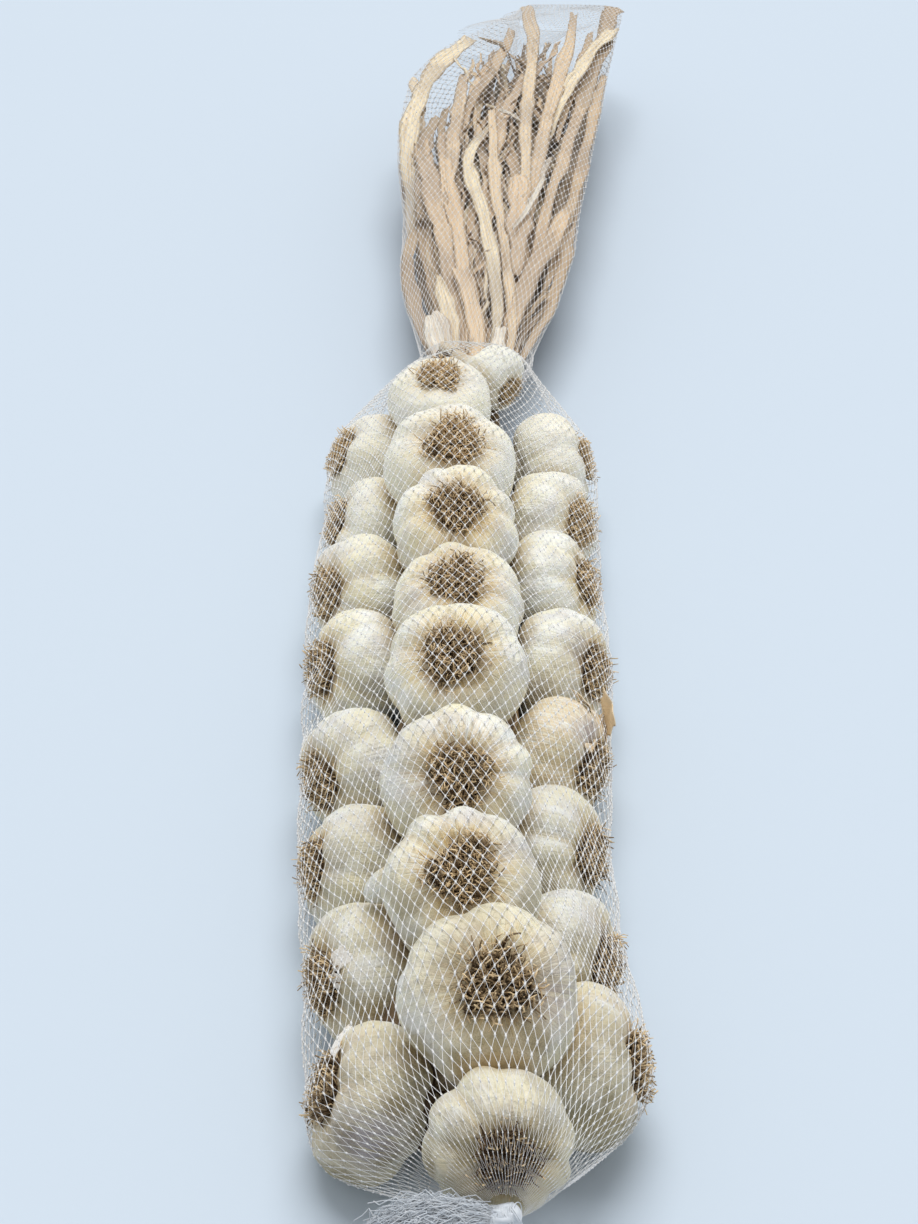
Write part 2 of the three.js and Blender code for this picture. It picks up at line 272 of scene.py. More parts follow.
def use_group(tree, group, inputs):
    new = tree.nodes.new("ShaderNodeGroup")
    new.node_tree = group
    feed(tree, new, inputs)
    return new.outputs


# %% Fibres: long thin streaks that follow a piece
fibres, given, result = group_with(
    "Long fibres", {"Across": 40.0, "Along": 1.0, "Seed": 0.0}, ["Streaks", "Fine"])
place_x, place_y, place_z = node(fibres, "SeparateXYZ", {0: given["Place"]}).outputs
wide_x = times(fibres, place_x, given["Across"])
wide_y = times(fibres, place_y, given["Across"])
long_z = plus(fibres, times(fibres, place_z, given["Along"]), given["Seed"])
drawn_out = joined(fibres, wide_x, wide_y, long_z)
feed(fibres, result, {
    "Streaks": noise(fibres, drawn_out, 1.0, 3.0),
    "Fine": noise(fibres, drawn_out, 3.1, 2.0),
})

# %% Patches: where a piece dried darker
patches, given, result = group_with(
    "Dried patches", {"Size": 3.0, "Amount": 0.5, "Seed": 0.0}, ["Mask"])
seed_offset = joined(patches, given["Seed"], given["Seed"], given["Seed"])
moved = node(patches, "VectorMath", {0: given["Place"], 1: seed_offset}, operation="ADD").outputs[0]
cloudy = noise(patches, moved, given["Size"], 4.0)
edge = times(patches, math_node(patches, "SUBTRACT", 1.0, given["Amount"]), 0.9)
above = math_node(patches, "SUBTRACT", cloudy, edge)
feed(patches, result, {"Mask": steps(patches, above, 0.0, 0.16)})
print("made", len(bpy.data.node_groups), "shared effects")

# %% [markdown]
# ## Materials: the garlic's skin
#
# The skin is dry paper over the cloves: ivory, with fine veins from the roots to the
# neck, yellow-brown where the roots were, and a violet or grey bruise here and there.
# Its pattern has to turn with each head, so every head carries its own place on the
# head in an attribute, and the veins are noise read round the axis: that way no seam
# shows where the angle starts again.


# %% The skin's material
def skin_material():
    material, tree, shader = new_tree("Garlic skin")
    place = told(tree, "place", "Vector")
    seed = times(tree, told(tree, "pick"), 61.0)
    x, y, z = node(tree, "SeparateXYZ", {0: place}).outputs
    level = joined(tree, x, y)
    out = node(tree, "VectorMath", {0: level}, operation="LENGTH").outputs["Value"]
    ring = node(tree, "VectorMath", {0: level}, operation="NORMALIZE").outputs[0]
    round_x, round_y, _ = node(tree, "SeparateXYZ", {0: ring}).outputs
    turned = joined(tree, round_x, round_y, z)
    veins = use_group(tree, fibres, {"Place": turned, "Across": 9.0, "Along": 1.2, "Seed": seed})
    lines = use_group(tree, fibres, {"Place": turned, "Across": 24.0, "Along": 0.9, "Seed": seed})

    def patch(size, amount, seed=seed):
        inputs = {"Place": place, "Size": size, "Amount": amount, "Seed": seed}
        return use_group(tree, patches, inputs)["Mask"]

    # Ivory, whiter where more layers of skin are left, with brown veins and dull patches.
    colour = blend(tree, steps(tree, veins["Streaks"], 0.35, 0.66),
                   (0.945, 0.92, 0.755, 1), (0.965, 0.985, 0.945, 1))
    layers = steps(tree, noise(tree, place, 2.6, 7.0, Roughness=0.62), 0.515, 0.545)
    colour = tint(tree, colour, layers, 0.55, (0.965, 0.97, 0.955))
    colour = tint(tree, colour, steps(tree, lines["Streaks"], 0.55, 0.72), 0.20, (0.60, 0.50, 0.36))
    ashen = patch(1.6, 0.50)
    colour = tint(tree, colour, ashen, 0.10, (0.64, 0.59, 0.53))
    colour = tint(tree, colour, patch(1.2, 0.52, plus(tree, seed, 5.0)), 0.55, (0.92, 0.83, 0.53))

    # Yellow-brown round the roots, darkest where they leave the head.
    crown = times(tree, steps(tree, out, 0.88, 0.34), steps(tree, z, 0.05, 0.42))
    scorched = times(tree, crown, steps(tree, veins["Fine"], 0.30, 0.62))
    scorched = times(tree, scorched, plus(tree, times(tree, patch(2.2, 0.62), 0.45), 0.6))
    colour = blend(tree, scorched, colour, (0.73, 0.53, 0.22, 1))
    burnt = times(tree, times(tree, crown, 0.65), steps(tree, lines["Fine"], 0.50, 0.64))
    colour = blend(tree, burnt, colour, (0.46, 0.28, 0.11, 1))
    seat = times(tree, steps(tree, out, 0.40, 0.24), steps(tree, z, 0.2, 0.4))
    colour = blend(tree, seat, colour, (0.24, 0.15, 0.07, 1))

    # Bruises, painted shade in the folds, age, dust with painted shade by the knot, painted light by the
    # leaves, stains and painted shade between heads.
    bruised = times(tree, patch(1.9, 0.45, plus(tree, seed, 17.0)), steps(tree, z, -0.5, 0.0))
    colour = tint(tree, colour, bruised, 0.34, (0.55, 0.50, 0.53))
    # Painted shade deep in the folds between cloves.
    colour = tint(tree, colour, told(tree, "crease"), 0.45, (0.64, 0.48, 0.27))
    aged = times(tree, told(tree, "aged"), steps(tree, veins["Fine"], 0.25, 0.60))
    colour = blend(tree, aged, colour, (0.84, 0.65, 0.38, 1))
    # Dust with painted shade darkens the heads by the knot. Painted light makes those by the leaves paler.
    dust_and_shade_mask = told(tree, "dust_and_shade")
    colour = tint(tree, colour, dust_and_shade_mask, plus(tree, times(tree, ashen, 0.30), 0.22), (0.38, 0.32, 0.19))
    painted_light_by_leaves = times(tree, dust_and_shade_mask, -0.8, clamp=True)
    colour = blend(tree, painted_light_by_leaves, colour, (0.965, 0.945, 0.83, 1))
    stain = times(tree, told(tree, "stain"), steps(tree, veins["Fine"], 0.30, 0.58))
    colour = blend(tree, stain, colour, (0.36, 0.32, 0.37, 1))
    # Painted shade where one head touches another.
    colour = tint(tree, colour, steps(tree, told(tree, "shade_where_touching"), 0.0, 1.0), 0.62, (0.50, 0.36, 0.17))
    colour = tint(tree, colour, steps(tree, z, -0.62, -1.0), 0.8, (0.66, 0.53, 0.36))

    papery = noise(tree, place, 4.5, 5.0, Roughness=0.6)
    height = plus(tree, times(tree, lines["Streaks"], 0.20), times(tree, veins["Fine"], 0.35))
    height = plus(tree, height, times(tree, papery, 1.8))
    height = plus(tree, height, times(tree, layers, 0.22))
    rough = node(tree, "MapRange", {0: veins["Fine"], 3: 0.36, 4: 0.56}).outputs[0]
    feed(tree, shader, {
        "Base Color": colour, "Roughness": rough, "Normal": bump(tree, 0.60, 0.0016, height),
        "Specular IOR Level": 0.42, "Subsurface Weight": 0.05,
        "Subsurface Radius": (0.004, 0.003, 0.002), "Subsurface Scale": 1.0,
    })
    return material


garlic_skin = skin_material()
print("made", garlic_skin.name)

# %% [markdown]
# ## Materials: roots, stems, leaves and net
#
# Roots and stems are the same dry fibre in darker and paler browns; the stems are darkened further, as
# painted shade deep in the braid. A leaf is wide and flat, so its fibres follow its own map, from base to
# tip. A torn flake of skin goes from tan to white by its tone. The net is plain white polymer with a sheen.
# Its fibres are finer than the threads that are modelled, so some light comes through them. At the knot and
# the tail it is painted greyer and bluer, as shade.


# %% The material of roots and stems
def dry_material(name, pale, dark, speckle, rough):
    """Dry fibre whose tone also changes from piece to piece."""
    material, tree, shader = new_tree(name)
    grain = noise(tree, node(tree, "TexCoord").outputs["Object"], speckle, 3.0)
    mixed = plus(tree, times(tree, grain, 0.5), told(tree, "tone"))
    feed(tree, shader, {
        "Base Color": blend(tree, steps(tree, mixed, 0.25, 1.15), dark, pale),
        "Roughness": rough, "Normal": bump(tree, 0.3, 0.0004, grain),
    })
    return material


root_fibre = dry_material("Root fibre", (0.93, 0.71, 0.42, 1), (0.10, 0.056, 0.024, 1), 260.0, 0.8)
# The stems' browns are partly their own and partly painted shade deep in the braid.
stem_with_painted_shade = dry_material("Stem with painted shade", (0.40, 0.27, 0.13, 1), (0.07, 0.04, 0.018, 1), 160.0, 0.75)

# %% The material of leaves
DARKEST_LEAF = (0.24, 0.19, 0.14, 1)
# Where on the scale of tones each paler colour comes in and is full.
PALER_LEAVES = [
    (0.0, 0.45, (0.58, 0.45, 0.31, 1)), (0.40, 0.75, (0.86, 0.66, 0.44, 1)),
    (0.75, 1.0, (0.97, 0.85, 0.61, 1)), (1.1, 1.5, (0.96, 0.93, 0.86, 1)),
]


def leaf_material():
    material, tree, shader = new_tree("Dry leaf")
    leaf_map = node(tree, "UVMap", uv_map="UVMap").outputs[0]
    length, side, _ = node(tree, "SeparateXYZ", {0: leaf_map}).outputs
    flat = node(tree, "CombineXYZ", {0: side, 2: length}).outputs[0]
    tone = told(tree, "tone")
    seed = times(tree, tone, 47.0)
    grain = use_group(tree, fibres, {"Place": flat, "Across": 9.0, "Along": 2.6, "Seed": seed})
    ribs = use_group(tree, fibres, {"Place": flat, "Across": 26.0, "Along": 1.4, "Seed": seed})
    place = node(tree, "TexCoord").outputs["Object"]
    dried = use_group(tree, patches, {"Place": place, "Size": 16.0, "Amount": 0.48, "Seed": seed})["Mask"]
    colour = DARKEST_LEAF
    for low, high, paler in PALER_LEAVES:
        colour = blend(tree, steps(tree, tone, low, high), colour, paler)
    # Grey and brown streaks, a darker rim, then dark and pale ribs.
    for mask, low, high, strength, streak in [
        (grain["Fine"], 0.50, 0.66, 0.45, (0.60, 0.52, 0.45)),
        (grain["Streaks"], 0.46, 0.62, 0.42, (0.60, 0.42, 0.25)),
        (math_node(tree, "ABSOLUTE", side), 0.38, 0.5, 0.5, (0.36, 0.25, 0.15)),
        (ribs["Streaks"], 0.53, 0.66, 0.45, (0.22, 0.15, 0.09)),
        (ribs["Fine"], 0.55, 0.70, 0.4, (0.88, 0.76, 0.58)),
    ]:
        colour = tint(tree, colour, steps(tree, mask, low, high), strength, streak)
    height = plus(tree, ribs["Streaks"], times(tree, grain["Fine"], 0.5))
    feed(tree, shader, {
        "Base Color": tint(tree, colour, dried, 0.45, (0.38, 0.30, 0.24)),
        "Roughness": 0.62, "Specular IOR Level": 0.35, "Normal": bump(tree, 0.5, 0.0008, height),
    })
    return material


dry_leaf = leaf_material()


# %% The material of loose skin
def flake_material():
    material, tree, shader = new_tree("Loose skin")
    tone = told(tree, "tone")
    place = told(tree, "place", "Vector")
    veins = use_group(tree, fibres, {"Place": place, "Across": 16.0, "Along": 2.0, "Seed": tone})
    colour = blend(tree, tone, (0.82, 0.62, 0.36, 1), (0.99, 0.98, 0.95, 1))
    colour = tint(tree, colour, steps(tree, veins["Streaks"], 0.52, 0.68), 0.45, (0.66, 0.52, 0.34))
    feed(tree, shader, {
        "Base Color": colour, "Roughness": 0.45, "Normal": bump(tree, 0.5, 0.0008, veins["Fine"]),
    })
    return material


loose_skin = flake_material()


# %% The material of the net
def net_material(name, dark, pale):
    material, tree, shader = new_tree(name)
    cloudy = noise(tree, node(tree, "TexCoord").outputs["Object"], 300.0, 2.0)
    feed(tree, shader, {
        "Base Color": blend(tree, cloudy, dark, pale), "Roughness": 0.38, "Specular IOR Level": 0.5,
        "Sheen Weight": 1.0, "Sheen Roughness": 0.5, "Alpha": 0.76,
    })
    return material


white_net = net_material("White net", (0.99, 0.99, 0.99, 1), (1.0, 1.0, 1.0, 1))
# The knot and the tail are the same white polymer, painted greyer and bluer as the shade in the gathered net.
net_in_painted_shade = net_material("Net in painted shade", (0.70, 0.77, 0.86, 1), (0.92, 0.95, 0.98, 1))
print("made", len(bpy.data.materials), "materials")

# %% [markdown]
# ## Where each head is
#
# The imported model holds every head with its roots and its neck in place. Its solid is a
# stack of rings closed by a point at each end, and those two points have more neighbours
# than any other corner. The one with the nearer neighbours is the tip of the neck; the
# other is the middle of the roots.

# %% Reading the heads
ROOTS_TOP = 0.78                 # from a head's middle to the top of its roots, in radii
ROOTS_RIM = 0.2745               # from the middle of the roots to their rim, in radii
# How much larger loose skin makes a head: in the side rows, in the middle row, and these.
FULLER_AT_SIDE, FULLER_IN_MIDDLE = 1.02, 1.07
FULLER = {"head_end": 1.07, "head_centre_1": 1.06, "head_left_1": 1.06, "head_small": 1.06}
HEAD_NODES = sorted(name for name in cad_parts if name.startswith("head_"))


def place_of_head(name):
    node_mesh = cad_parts[name].data
    corners, same = np.unique(points_of(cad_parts[name]).round(6), axis=0, return_inverse=True)
    same = same.ravel()
    near = [set() for _ in corners]
    for one, two in (edge.vertices for edge in node_mesh.edges):
        near[same[one]].add(same[two])
        near[same[two]].add(same[one])
    poles = sorted(range(len(corners)), key=lambda i: -len(near[i] - {i}))[:2]
    reach = {p: np.mean([np.linalg.norm(corners[q] - corners[p]) for q in near[p] - {p}]) for p in poles}
    tip, top = sorted(poles, key=lambda p: reach[p])
    radius = reach[top] / ROOTS_RIM
    axis = corners[top] - corners[tip]
    axis /= np.linalg.norm(axis)
    centre = corners[top] - ROOTS_TOP * radius * axis
    neck = np.linalg.norm(centre - corners[tip]) / radius
    radius *= FULLER.get(name, FULLER_IN_MIDDLE if "centre" in name else FULLER_AT_SIDE)
    return {"axis": Vector(axis), "radius": radius, "centre": Vector(centre),
            "tip": Vector(corners[tip]), "neck": neck}


heads = {name: place_of_head(name) for name in HEAD_NODES}
print(len(heads), "heads,", round(2000 * min(h["radius"] for h in heads.values())), "to",
      round(2000 * max(h["radius"] for h in heads.values())), "mm across")

# %% [markdown]
# ## A head of garlic
#
# A head is a ring of cloves leaning together round the stem, with a dry skin pulled
# tight over all of them. It could be a lathed shape with ripples, but then its lobes
# look drawn on. Here the cloves are made first, as stretched spheres of uneven widths,
# and joined with the root plate and the neck. A voxel remesh then lays one skin over
# everything, and smoothing tightens it, so creases come where cloves really meet.
#
# Each head is modelled in units of its own radius, roots up. How deep each corner lies in a crease is kept
# too, so that the folds can be painted darker, as shade.


# %% One clove
CLOVE_THICK = 0.46               # half of a clove's thickness
CLOVE_TALL = 0.59                # half of its height
CLOVE_OUT = 0.53                 # from the head's axis to its middle


def edit_all():
    """Goes into edit mode with everything selected."""
    bpy.ops.object.mode_set(mode="EDIT")
    bpy.ops.mesh.select_all(action="SELECT")


def add_clove(turn, fat, width, drop):
    bpy.ops.mesh.primitive_uv_sphere_add(segments=24, ring_count=14, radius=1)
    edit_all()
    bpy.ops.transform.resize(value=(CLOVE_THICK * fat, width, CLOVE_TALL))
    bpy.ops.transform.translate(value=(CLOVE_OUT, 0, drop))
    bpy.ops.transform.rotate(value=turn, orient_axis="Z", center_override=(0, 0, 0))
    bpy.ops.object.mode_set(mode="OBJECT")
    return bpy.context.object


# %% The parts between the cloves
HEART = (0.83, 0.83, 0.54)       # half sizes of the head's middle
NECK_LENGTH = 1.5                # from the middle to the tip of the neck
# From the shoulder up the stem: how far each step goes, and how much it narrows.
NECK_STEPS = [(-0.20, 0.80), (-0.20, 0.64), (-0.20, 0.60), (-0.18, 0.78), (-0.42, 0.90)]


def add_heart():
    """The round middle that the cloves stand round, and the root plate on its top."""
    bpy.ops.mesh.primitive_uv_sphere_add(segments=32, ring_count=16, radius=1)
    heart = bpy.context.object
    edit_all()
    bpy.ops.transform.resize(value=HEART)
    bpy.ops.object.mode_set(mode="OBJECT")
    bpy.ops.mesh.primitive_cylinder_add(vertices=32, radius=0.33, depth=0.5, location=(0, 0, 0.27))
    return [heart, bpy.context.object]


def add_neck():
    """The shoulder narrows into the stem, drawn out by extruding a disc and scaling."""
    bpy.ops.mesh.primitive_circle_add(vertices=24, radius=0.72, fill_type="NGON", location=(0, 0, -0.30))
    neck = bpy.context.object
    edit_all()
    for drop, scale in NECK_STEPS:
        bpy.ops.mesh.extrude_region_move(TRANSFORM_OT_translate={"value": (0, 0, drop)})
        bpy.ops.transform.resize(value=(scale, scale, 1), center_override=(0, 0, 0))
    bpy.ops.mesh.select_all(action="SELECT")
    bpy.ops.mesh.normals_make_consistent(inside=False)
    bpy.ops.object.mode_set(mode="OBJECT")
    return neck


# %% Creases
EVENING = 14                     # passes that smooth the skin's creases away
DEEPEST = 0.012                  # how far a corner in a full crease lies below that


def creases_of(head):
    """How deep each corner lies in a fold between cloves, from 0 to 1."""
    spots = points_of(head)
    pairs = np.empty(len(head.data.edges) * 2, dtype=np.int32)
    head.data.edges.foreach_get("vertices", pairs)
    one, two = pairs.reshape(-1, 2).T
    number = np.bincount(np.concatenate([one, two]), minlength=len(spots))[:, None]
    even = spots.copy()
    for _ in range(EVENING):
        total = np.zeros_like(even)
        np.add.at(total, one, even[two])
        np.add.at(total, two, even[one])
        even = total / number
    normals = np.empty(len(spots) * 3, dtype=np.float32)
    head.data.vertex_normals.foreach_get("vector", normals)
    return np.clip(((even - spots) * normals.reshape(-1, 3)).sum(axis=1) / DEEPEST, 0, 1)


# %% A whole head
SKIN_STEP = 0.038                # size of the remesh
SKIN_ROOM = 0.01                 # what the widest lobe stays inside the radius
SWELL = 0.10                     # depth of the slow swellings of the skin
HEAD_MODELS = 9


def model_head(name, cloves, seed):
    chance = random.Random(seed)
    shares = [chance.uniform(0.6, 1.4) for _ in range(cloves)]
    turn = 0
    parts = []
    for share in shares:
        wedge = 2 * math.pi * share / sum(shares)
        width = min(0.62, 0.66 * math.tan(wedge / 2) * chance.uniform(1.45, 2.1))
        fat, drop = chance.uniform(0.93, 1.05), chance.uniform(-0.06, 0.0)
        parts.append(add_clove(turn + wedge / 2, fat, width, drop))
        turn += wedge
    parts += add_heart()
    parts.append(add_neck())
    head = join(parts, name)
    modify(head, "REMESH", mode="VOXEL", voxel_size=SKIN_STEP)
    modify(head, "SMOOTH", factor=0.5, iterations=9)
    swells = bpy.data.textures.new(name, "CLOUDS")
    swells.noise_scale = chance.uniform(0.5, 0.9)
    modify(head, "DISPLACE", texture=swells, strength=SWELL, mid_level=0.5, texture_coords="LOCAL")
    spots = points_of(head)
    widest = np.percentile(np.hypot(spots[:, 0], spots[:, 1]), 99)
    spots[:, :2] *= (1 - SKIN_ROOM) / widest
    put_points(head, spots)
    note(head, "place", spots)
    note(head, "crease", creases_of(head))
    return head


variants = [model_head(f"head_model_{i + 1}", 6 + i % 3, seed=11 + i) for i in range(HEAD_MODELS)]
print("modelled", len(variants), "heads of", len(variants[0].data.polygons), "faces")

# %% [markdown]
# ## What marks a head
#
# The heads differ by more than their shape. One is yellow with age and a few have violet stains. The ones
# nearest the knot are painted darker, as dust and as shade, and those by the leaves paler, as painted light.
# Each head has painted shade on its side toward the knot, away from the light, and where it touches another
# head. Each mark is a number on every corner, found from where the corner is, and the skin's material turns
# it into a colour.

# %% Stains, painted shade where heads touch, and dust with painted shade and light
AGED = {"head_right_4": 0.75, "head_right_8": 0.30, "head_left_8": 0.30,
        "head_right_1": 0.25, "head_left_1": 0.20}
TOUCHING, APART = 0.98, 1.32     # from another head's middle, in radii: full shade, and none
DUST_AND_SHADE_STARTS = -0.20              # dust and painted shade in front of this place along the braid, painted light behind it
DUST_AND_SHADE_FULL = 0.24                 # how much farther the dust and painted shade are thickest
SHADE_IN_FRONT = {"head_end": 1.5}  # how much more painted shade lies on a head's side toward the knot, away from the light

# A grey-violet stain: head, direction from its middle, reach in radii, depth.
STAINS = [
    ("head_centre_1", (0.85, -0.35, 0.40), 0.42, 0.55),
    ("head_centre_1", (-0.75, 0.10, 0.60), 0.50, 0.22),
    ("head_centre_2", (0.85, 0.30, 0.45), 0.35, 0.40),
    ("head_centre_3", (-0.80, -0.10, 0.50), 0.45, 0.28),
    ("head_left_1", (0.05, -0.90, 0.30), 0.42, 0.85),
    ("head_right_5", (0.35, -0.35, 0.85), 0.32, 0.75),
    ("head_right_4", (0.50, -0.20, 0.80), 0.30, 0.80),
    ("head_left_4", (-0.45, 0.20, 0.85), 0.40, 0.20),
]


def radii_away(spots, middle, head):
    return np.linalg.norm(spots - np.array(middle), axis=1) / head["radius"]


def stain_on(name, spots):
    """How stained each corner of a head is, from 0 to 1."""
    head = heads[name]
    stain = np.zeros(len(spots))
    for stained, toward, reach, depth in STAINS:
        if stained == name:
            middle = head["centre"] + Vector(toward).normalized() * head["radius"] * 0.9
            away = radii_away(spots, middle, head)
            stain = np.maximum(stain, depth * np.exp(-(away / reach) ** 2))
    return stain


def shade_where_touching_on(name, spots):
    """Painted shade: how near each corner is to another head, from 0 to 1 where they touch."""
    shade_where_touching = np.zeros(len(spots))
    for other, head in heads.items():
        if other != name:
            away = radii_away(spots, head["centre"], head)
            shade_where_touching = np.maximum(shade_where_touching, np.clip((APART - away) / (APART - TOUCHING), 0, 1))
    return shade_where_touching


def dust_and_shade_at(y):
    """Dust and painted shade on the heads nearest the knot, and painted light on those by the leaves."""
    return np.clip((DUST_AND_SHADE_STARTS - y) / DUST_AND_SHADE_FULL, -1, 1)


# %% [markdown]
# ## The heads in their places
#
# Nine models are enough: each is copied a few times, turned about its axis and squashed a
# little, so that no two look alike. The neck is drawn out to the length the braid gives
# it. Every copy has its own mesh, and its place goes into the mesh, so that its object
# stays at the origin.

# %% Placing the heads
FLAT_BELOW = 0.0009              # the heads rest on the net, so none goes lower than this
TURNED = {"head_centre_1": -2.0}  # the side its narrowest clove shows
SHOULDER = -0.90                 # where the neck starts, in radii


def place_head(name, model, chance):
    head = heads[name]
    copy = copy_of(model, name.replace("head", "garlic"))
    spots = points_of(copy)
    below = spots[:, 2] < SHOULDER
    drawn = (head["neck"] + SHOULDER) / (NECK_LENGTH + SHOULDER)
    spots[below, 2] = SHOULDER + (spots[below, 2] - SHOULDER) * drawn
    put_points(copy, spots)
    spin = Matrix.Rotation(chance.uniform(0, 2 * math.pi) + TURNED.get(name, 0), 4, "Z")
    wide_x, wide_y = chance.uniform(0.96, 1.03), chance.uniform(0.96, 1.03)
    squash = Matrix.Diagonal((wide_x, wide_y, chance.uniform(0.97, 1.04), 1))
    aim = Vector((0, 0, 1)).rotation_difference(head["axis"]).to_matrix().to_4x4()
    seat = Matrix.Translation(head["centre"]) @ aim
    head["pose"] = seat @ Matrix.Scale(head["radius"], 4) @ squash @ spin
    copy.data.transform(head["pose"])
    spots = points_of(copy)
    spots[:, 2] = np.maximum(spots[:, 2], FLAT_BELOW)
    put_points(copy, spots)
    note(copy, "pick", np.full(len(spots), chance.random()))
    note(copy, "aged", np.full(len(spots), AGED.get(name, 0)))
    # Painted shade on each head's side toward the knot, which faces away from the light.
    shaded_front = np.clip((head["centre"].y - spots[:, 1]) / head["radius"], 0, 1)
    dust_and_shade = dust_and_shade_at(head["centre"].y)
    note(copy, "dust_and_shade", dust_and_shade + (1 + dust_and_shade) * SHADE_IN_FRONT.get(name, 1.0) * shaded_front)
    note(copy, "stain", stain_on(name, spots))
    note(copy, "shade_where_touching", shade_where_touching_on(name, spots))
    finish_piece(copy, garlic_skin, "skin", name)
    return copy


chance = random.Random(5)
garlic = {}
for i, name in enumerate(HEAD_NODES):
    garlic[name] = place_head(name, variants[i % len(variants)], chance)
for model in variants:
    bpy.data.objects.remove(model)
print("placed", len(garlic), "heads")

# %% [markdown]
# ## Torn skin, and a clove pushed out
#
# Here and there the outer skin is torn and a flake of it stands off the head. A flake is
# a patch of the head's own round shape, so it is written as a small grid on that shape,
# ragged at its rim and lifted at one side, and a solidify modifier makes it paper-thick.

# %% Torn flakes
# Head, direction from its middle, half sizes along and across in radii, lift, and tone
# from tan to white.
FLAKES = [
    ("head_left_2", (-0.32, -0.38, 0.86), 0.20, 0.13, 0.03, 0.8),
    ("head_left_2", (-0.62, -0.60, 0.50), 0.26, 0.10, 0.10, 0.9),
    ("head_left_1", (-0.45, 0.55, 0.70), 0.30, 0.07, 0.10, 0.9),
    ("head_right_4", (0.45, 0.55, 0.80), 0.34, 0.26, 0.14, 0.25),
    ("head_right_4", (0.80, 0.52, 0.42), 0.30, 0.30, 0.42, 0.15),
    ("head_right_4", (0.80, -0.30, 0.45), 0.36, 0.26, 0.16, 0.2),
]
ROWS_UP, ROWS_ACROSS = 9, 13
ROUNDNESS = 0.62                 # a head's height over its width


def quads(across, up):
    """The faces of a grid of corners that runs up first, then across."""
    first = (np.arange(across - 1)[:, None] * up + np.arange(up - 1)).ravel()
    return np.stack([first, first + up, first + up + 1, first + 1], axis=1)


def add_flake(name, node_name, toward, tall, wide, lift, tone, chance):
    """A patch of the head's own round shape, a little off it and lifted at one edge."""
    head = heads[node_name]
    aim = Vector(toward).normalized() * head["radius"]
    here = head["pose"].inverted() @ (head["centre"] + aim)
    turn = math.atan2(here.y, here.x)
    rise = math.atan2(here.z / 0.60, math.hypot(here.x, here.y))
    across = np.linspace(-1, 1, ROWS_ACROSS)[:, None]
    up = np.linspace(-1, 1, ROWS_UP)[None, :]
    ragged_up = chance.uniform(0.55, 1.25, across.shape)
    ragged_across = chance.uniform(0.65, 1.2, up.shape)
    theta = turn + across * wide * ragged_across / max(0.4, math.cos(rise))
    phi = np.clip(rise + up * tall * ragged_up, -1.2, 1.2)
    off = 1.005 + lift * (across * 0.5 + 0.5) ** 2 + chance.normal(0, 0.006, theta.shape)
    corners = np.stack([
        np.cos(phi) * np.cos(theta) * off,
        np.cos(phi) * np.sin(theta) * off,
        ROUNDNESS * np.sin(phi) * off], axis=-1)
    flake = mesh_object(name, corners.reshape(-1, 3), quads(ROWS_ACROSS, ROWS_UP))
    modify(flake, "SUBSURF", levels=1)
    modify(flake, "SOLIDIFY", thickness=0.012, offset=0)
    note(flake, "place", points_of(flake))
    note(flake, "tone", np.full(len(flake.data.vertices), tone))
    flake.data.transform(head["pose"])
    finish_piece(flake, loose_skin, "skin", node_name)


chance = np.random.default_rng(8)
for i, flake in enumerate(FLAKES):
    add_flake(f"flake_{i + 1}", *flake, chance)
print("added", len(FLAKES), "flakes")

# %% The clove pushed out
CLOVE_PLACE = Vector((-0.040, -0.347, 0.060))
CLOVE_HALVES = Vector((0.0056, 0.0052, 0.0088))
CLOVE_TILT = Euler((0.5, 0.6, 0.9))
CLOVE_PICK = 0.37                # where in the skin's pattern it lies
bpy.ops.mesh.primitive_uv_sphere_add(segments=32, ring_count=18, radius=1)
clove = bpy.context.object
clove.name = clove.data.name = "clove_pushed_out"
note(clove, "place", points_of(clove) * (0.5, 0.5, 0.6))
note(clove, "pick", np.full(len(clove.data.vertices), CLOVE_PICK))
note(clove, "dust_and_shade", np.full(len(clove.data.vertices), dust_and_shade_at(-0.35)))
clove.data.transform(Matrix.LocRotScale(CLOVE_PLACE, CLOVE_TILT, CLOVE_HALVES))
finish_piece(clove, garlic_skin, "skin", "head_centre_2")
print("added a clove")

# %% [markdown]
# ## Rods: roots, stems, threads
#
# Roots, stems and threads are all thin closed rods along a line, by the thousand. Curve
# objects would need one spline each, so the rods are written straight into a mesh. A
# rod's side direction is carried from point to point, so that it doesn't twist.


# %% Rods along lines
NOWHERE = (0.31, 0.17, 0.93)     # a direction that no line here runs along


def rods(name, lines, radii, sides=4):
    """Closed rods along many lines that all have the same number of points."""
    lines = np.asarray(lines, dtype=float)
    count, length, _ = lines.shape
    radii = np.broadcast_to(radii, (count, length))
    ahead = unit(np.gradient(lines, axis=1), 1e-12)
    side = np.cross(ahead[:, 0], NOWHERE)
    turn = 2 * np.pi * np.arange(sides) / sides
    corners = np.empty((count, length, sides, 3))
    for i in range(length):
        side = side - ahead[:, i] * (side * ahead[:, i]).sum(axis=1, keepdims=True)
        side = unit(side, 1e-12)
        up = np.cross(ahead[:, i], side)
        ring = np.cos(turn)[None, :, None] * side[:, None] + np.sin(turn)[None, :, None] * up[:, None]
        corners[:, i] = lines[:, i, None] + radii[:, i, None, None] * ring
    first = (np.arange(count)[:, None, None] * length + np.arange(length - 1)[None, :, None]) * sides
    here = first + np.arange(sides)
    there = first + (np.arange(sides) + 1) % sides
    walls = np.stack([here, there, there + sides, here + sides], axis=-1).reshape(-1, 4)
    ends = np.arange(count)[:, None] * length * sides + np.arange(sides)
    caps = np.concatenate([ends[:, ::-1], ends + (length - 1) * sides])
    return mesh_object(name, corners.reshape(-1, 3), walls, caps)


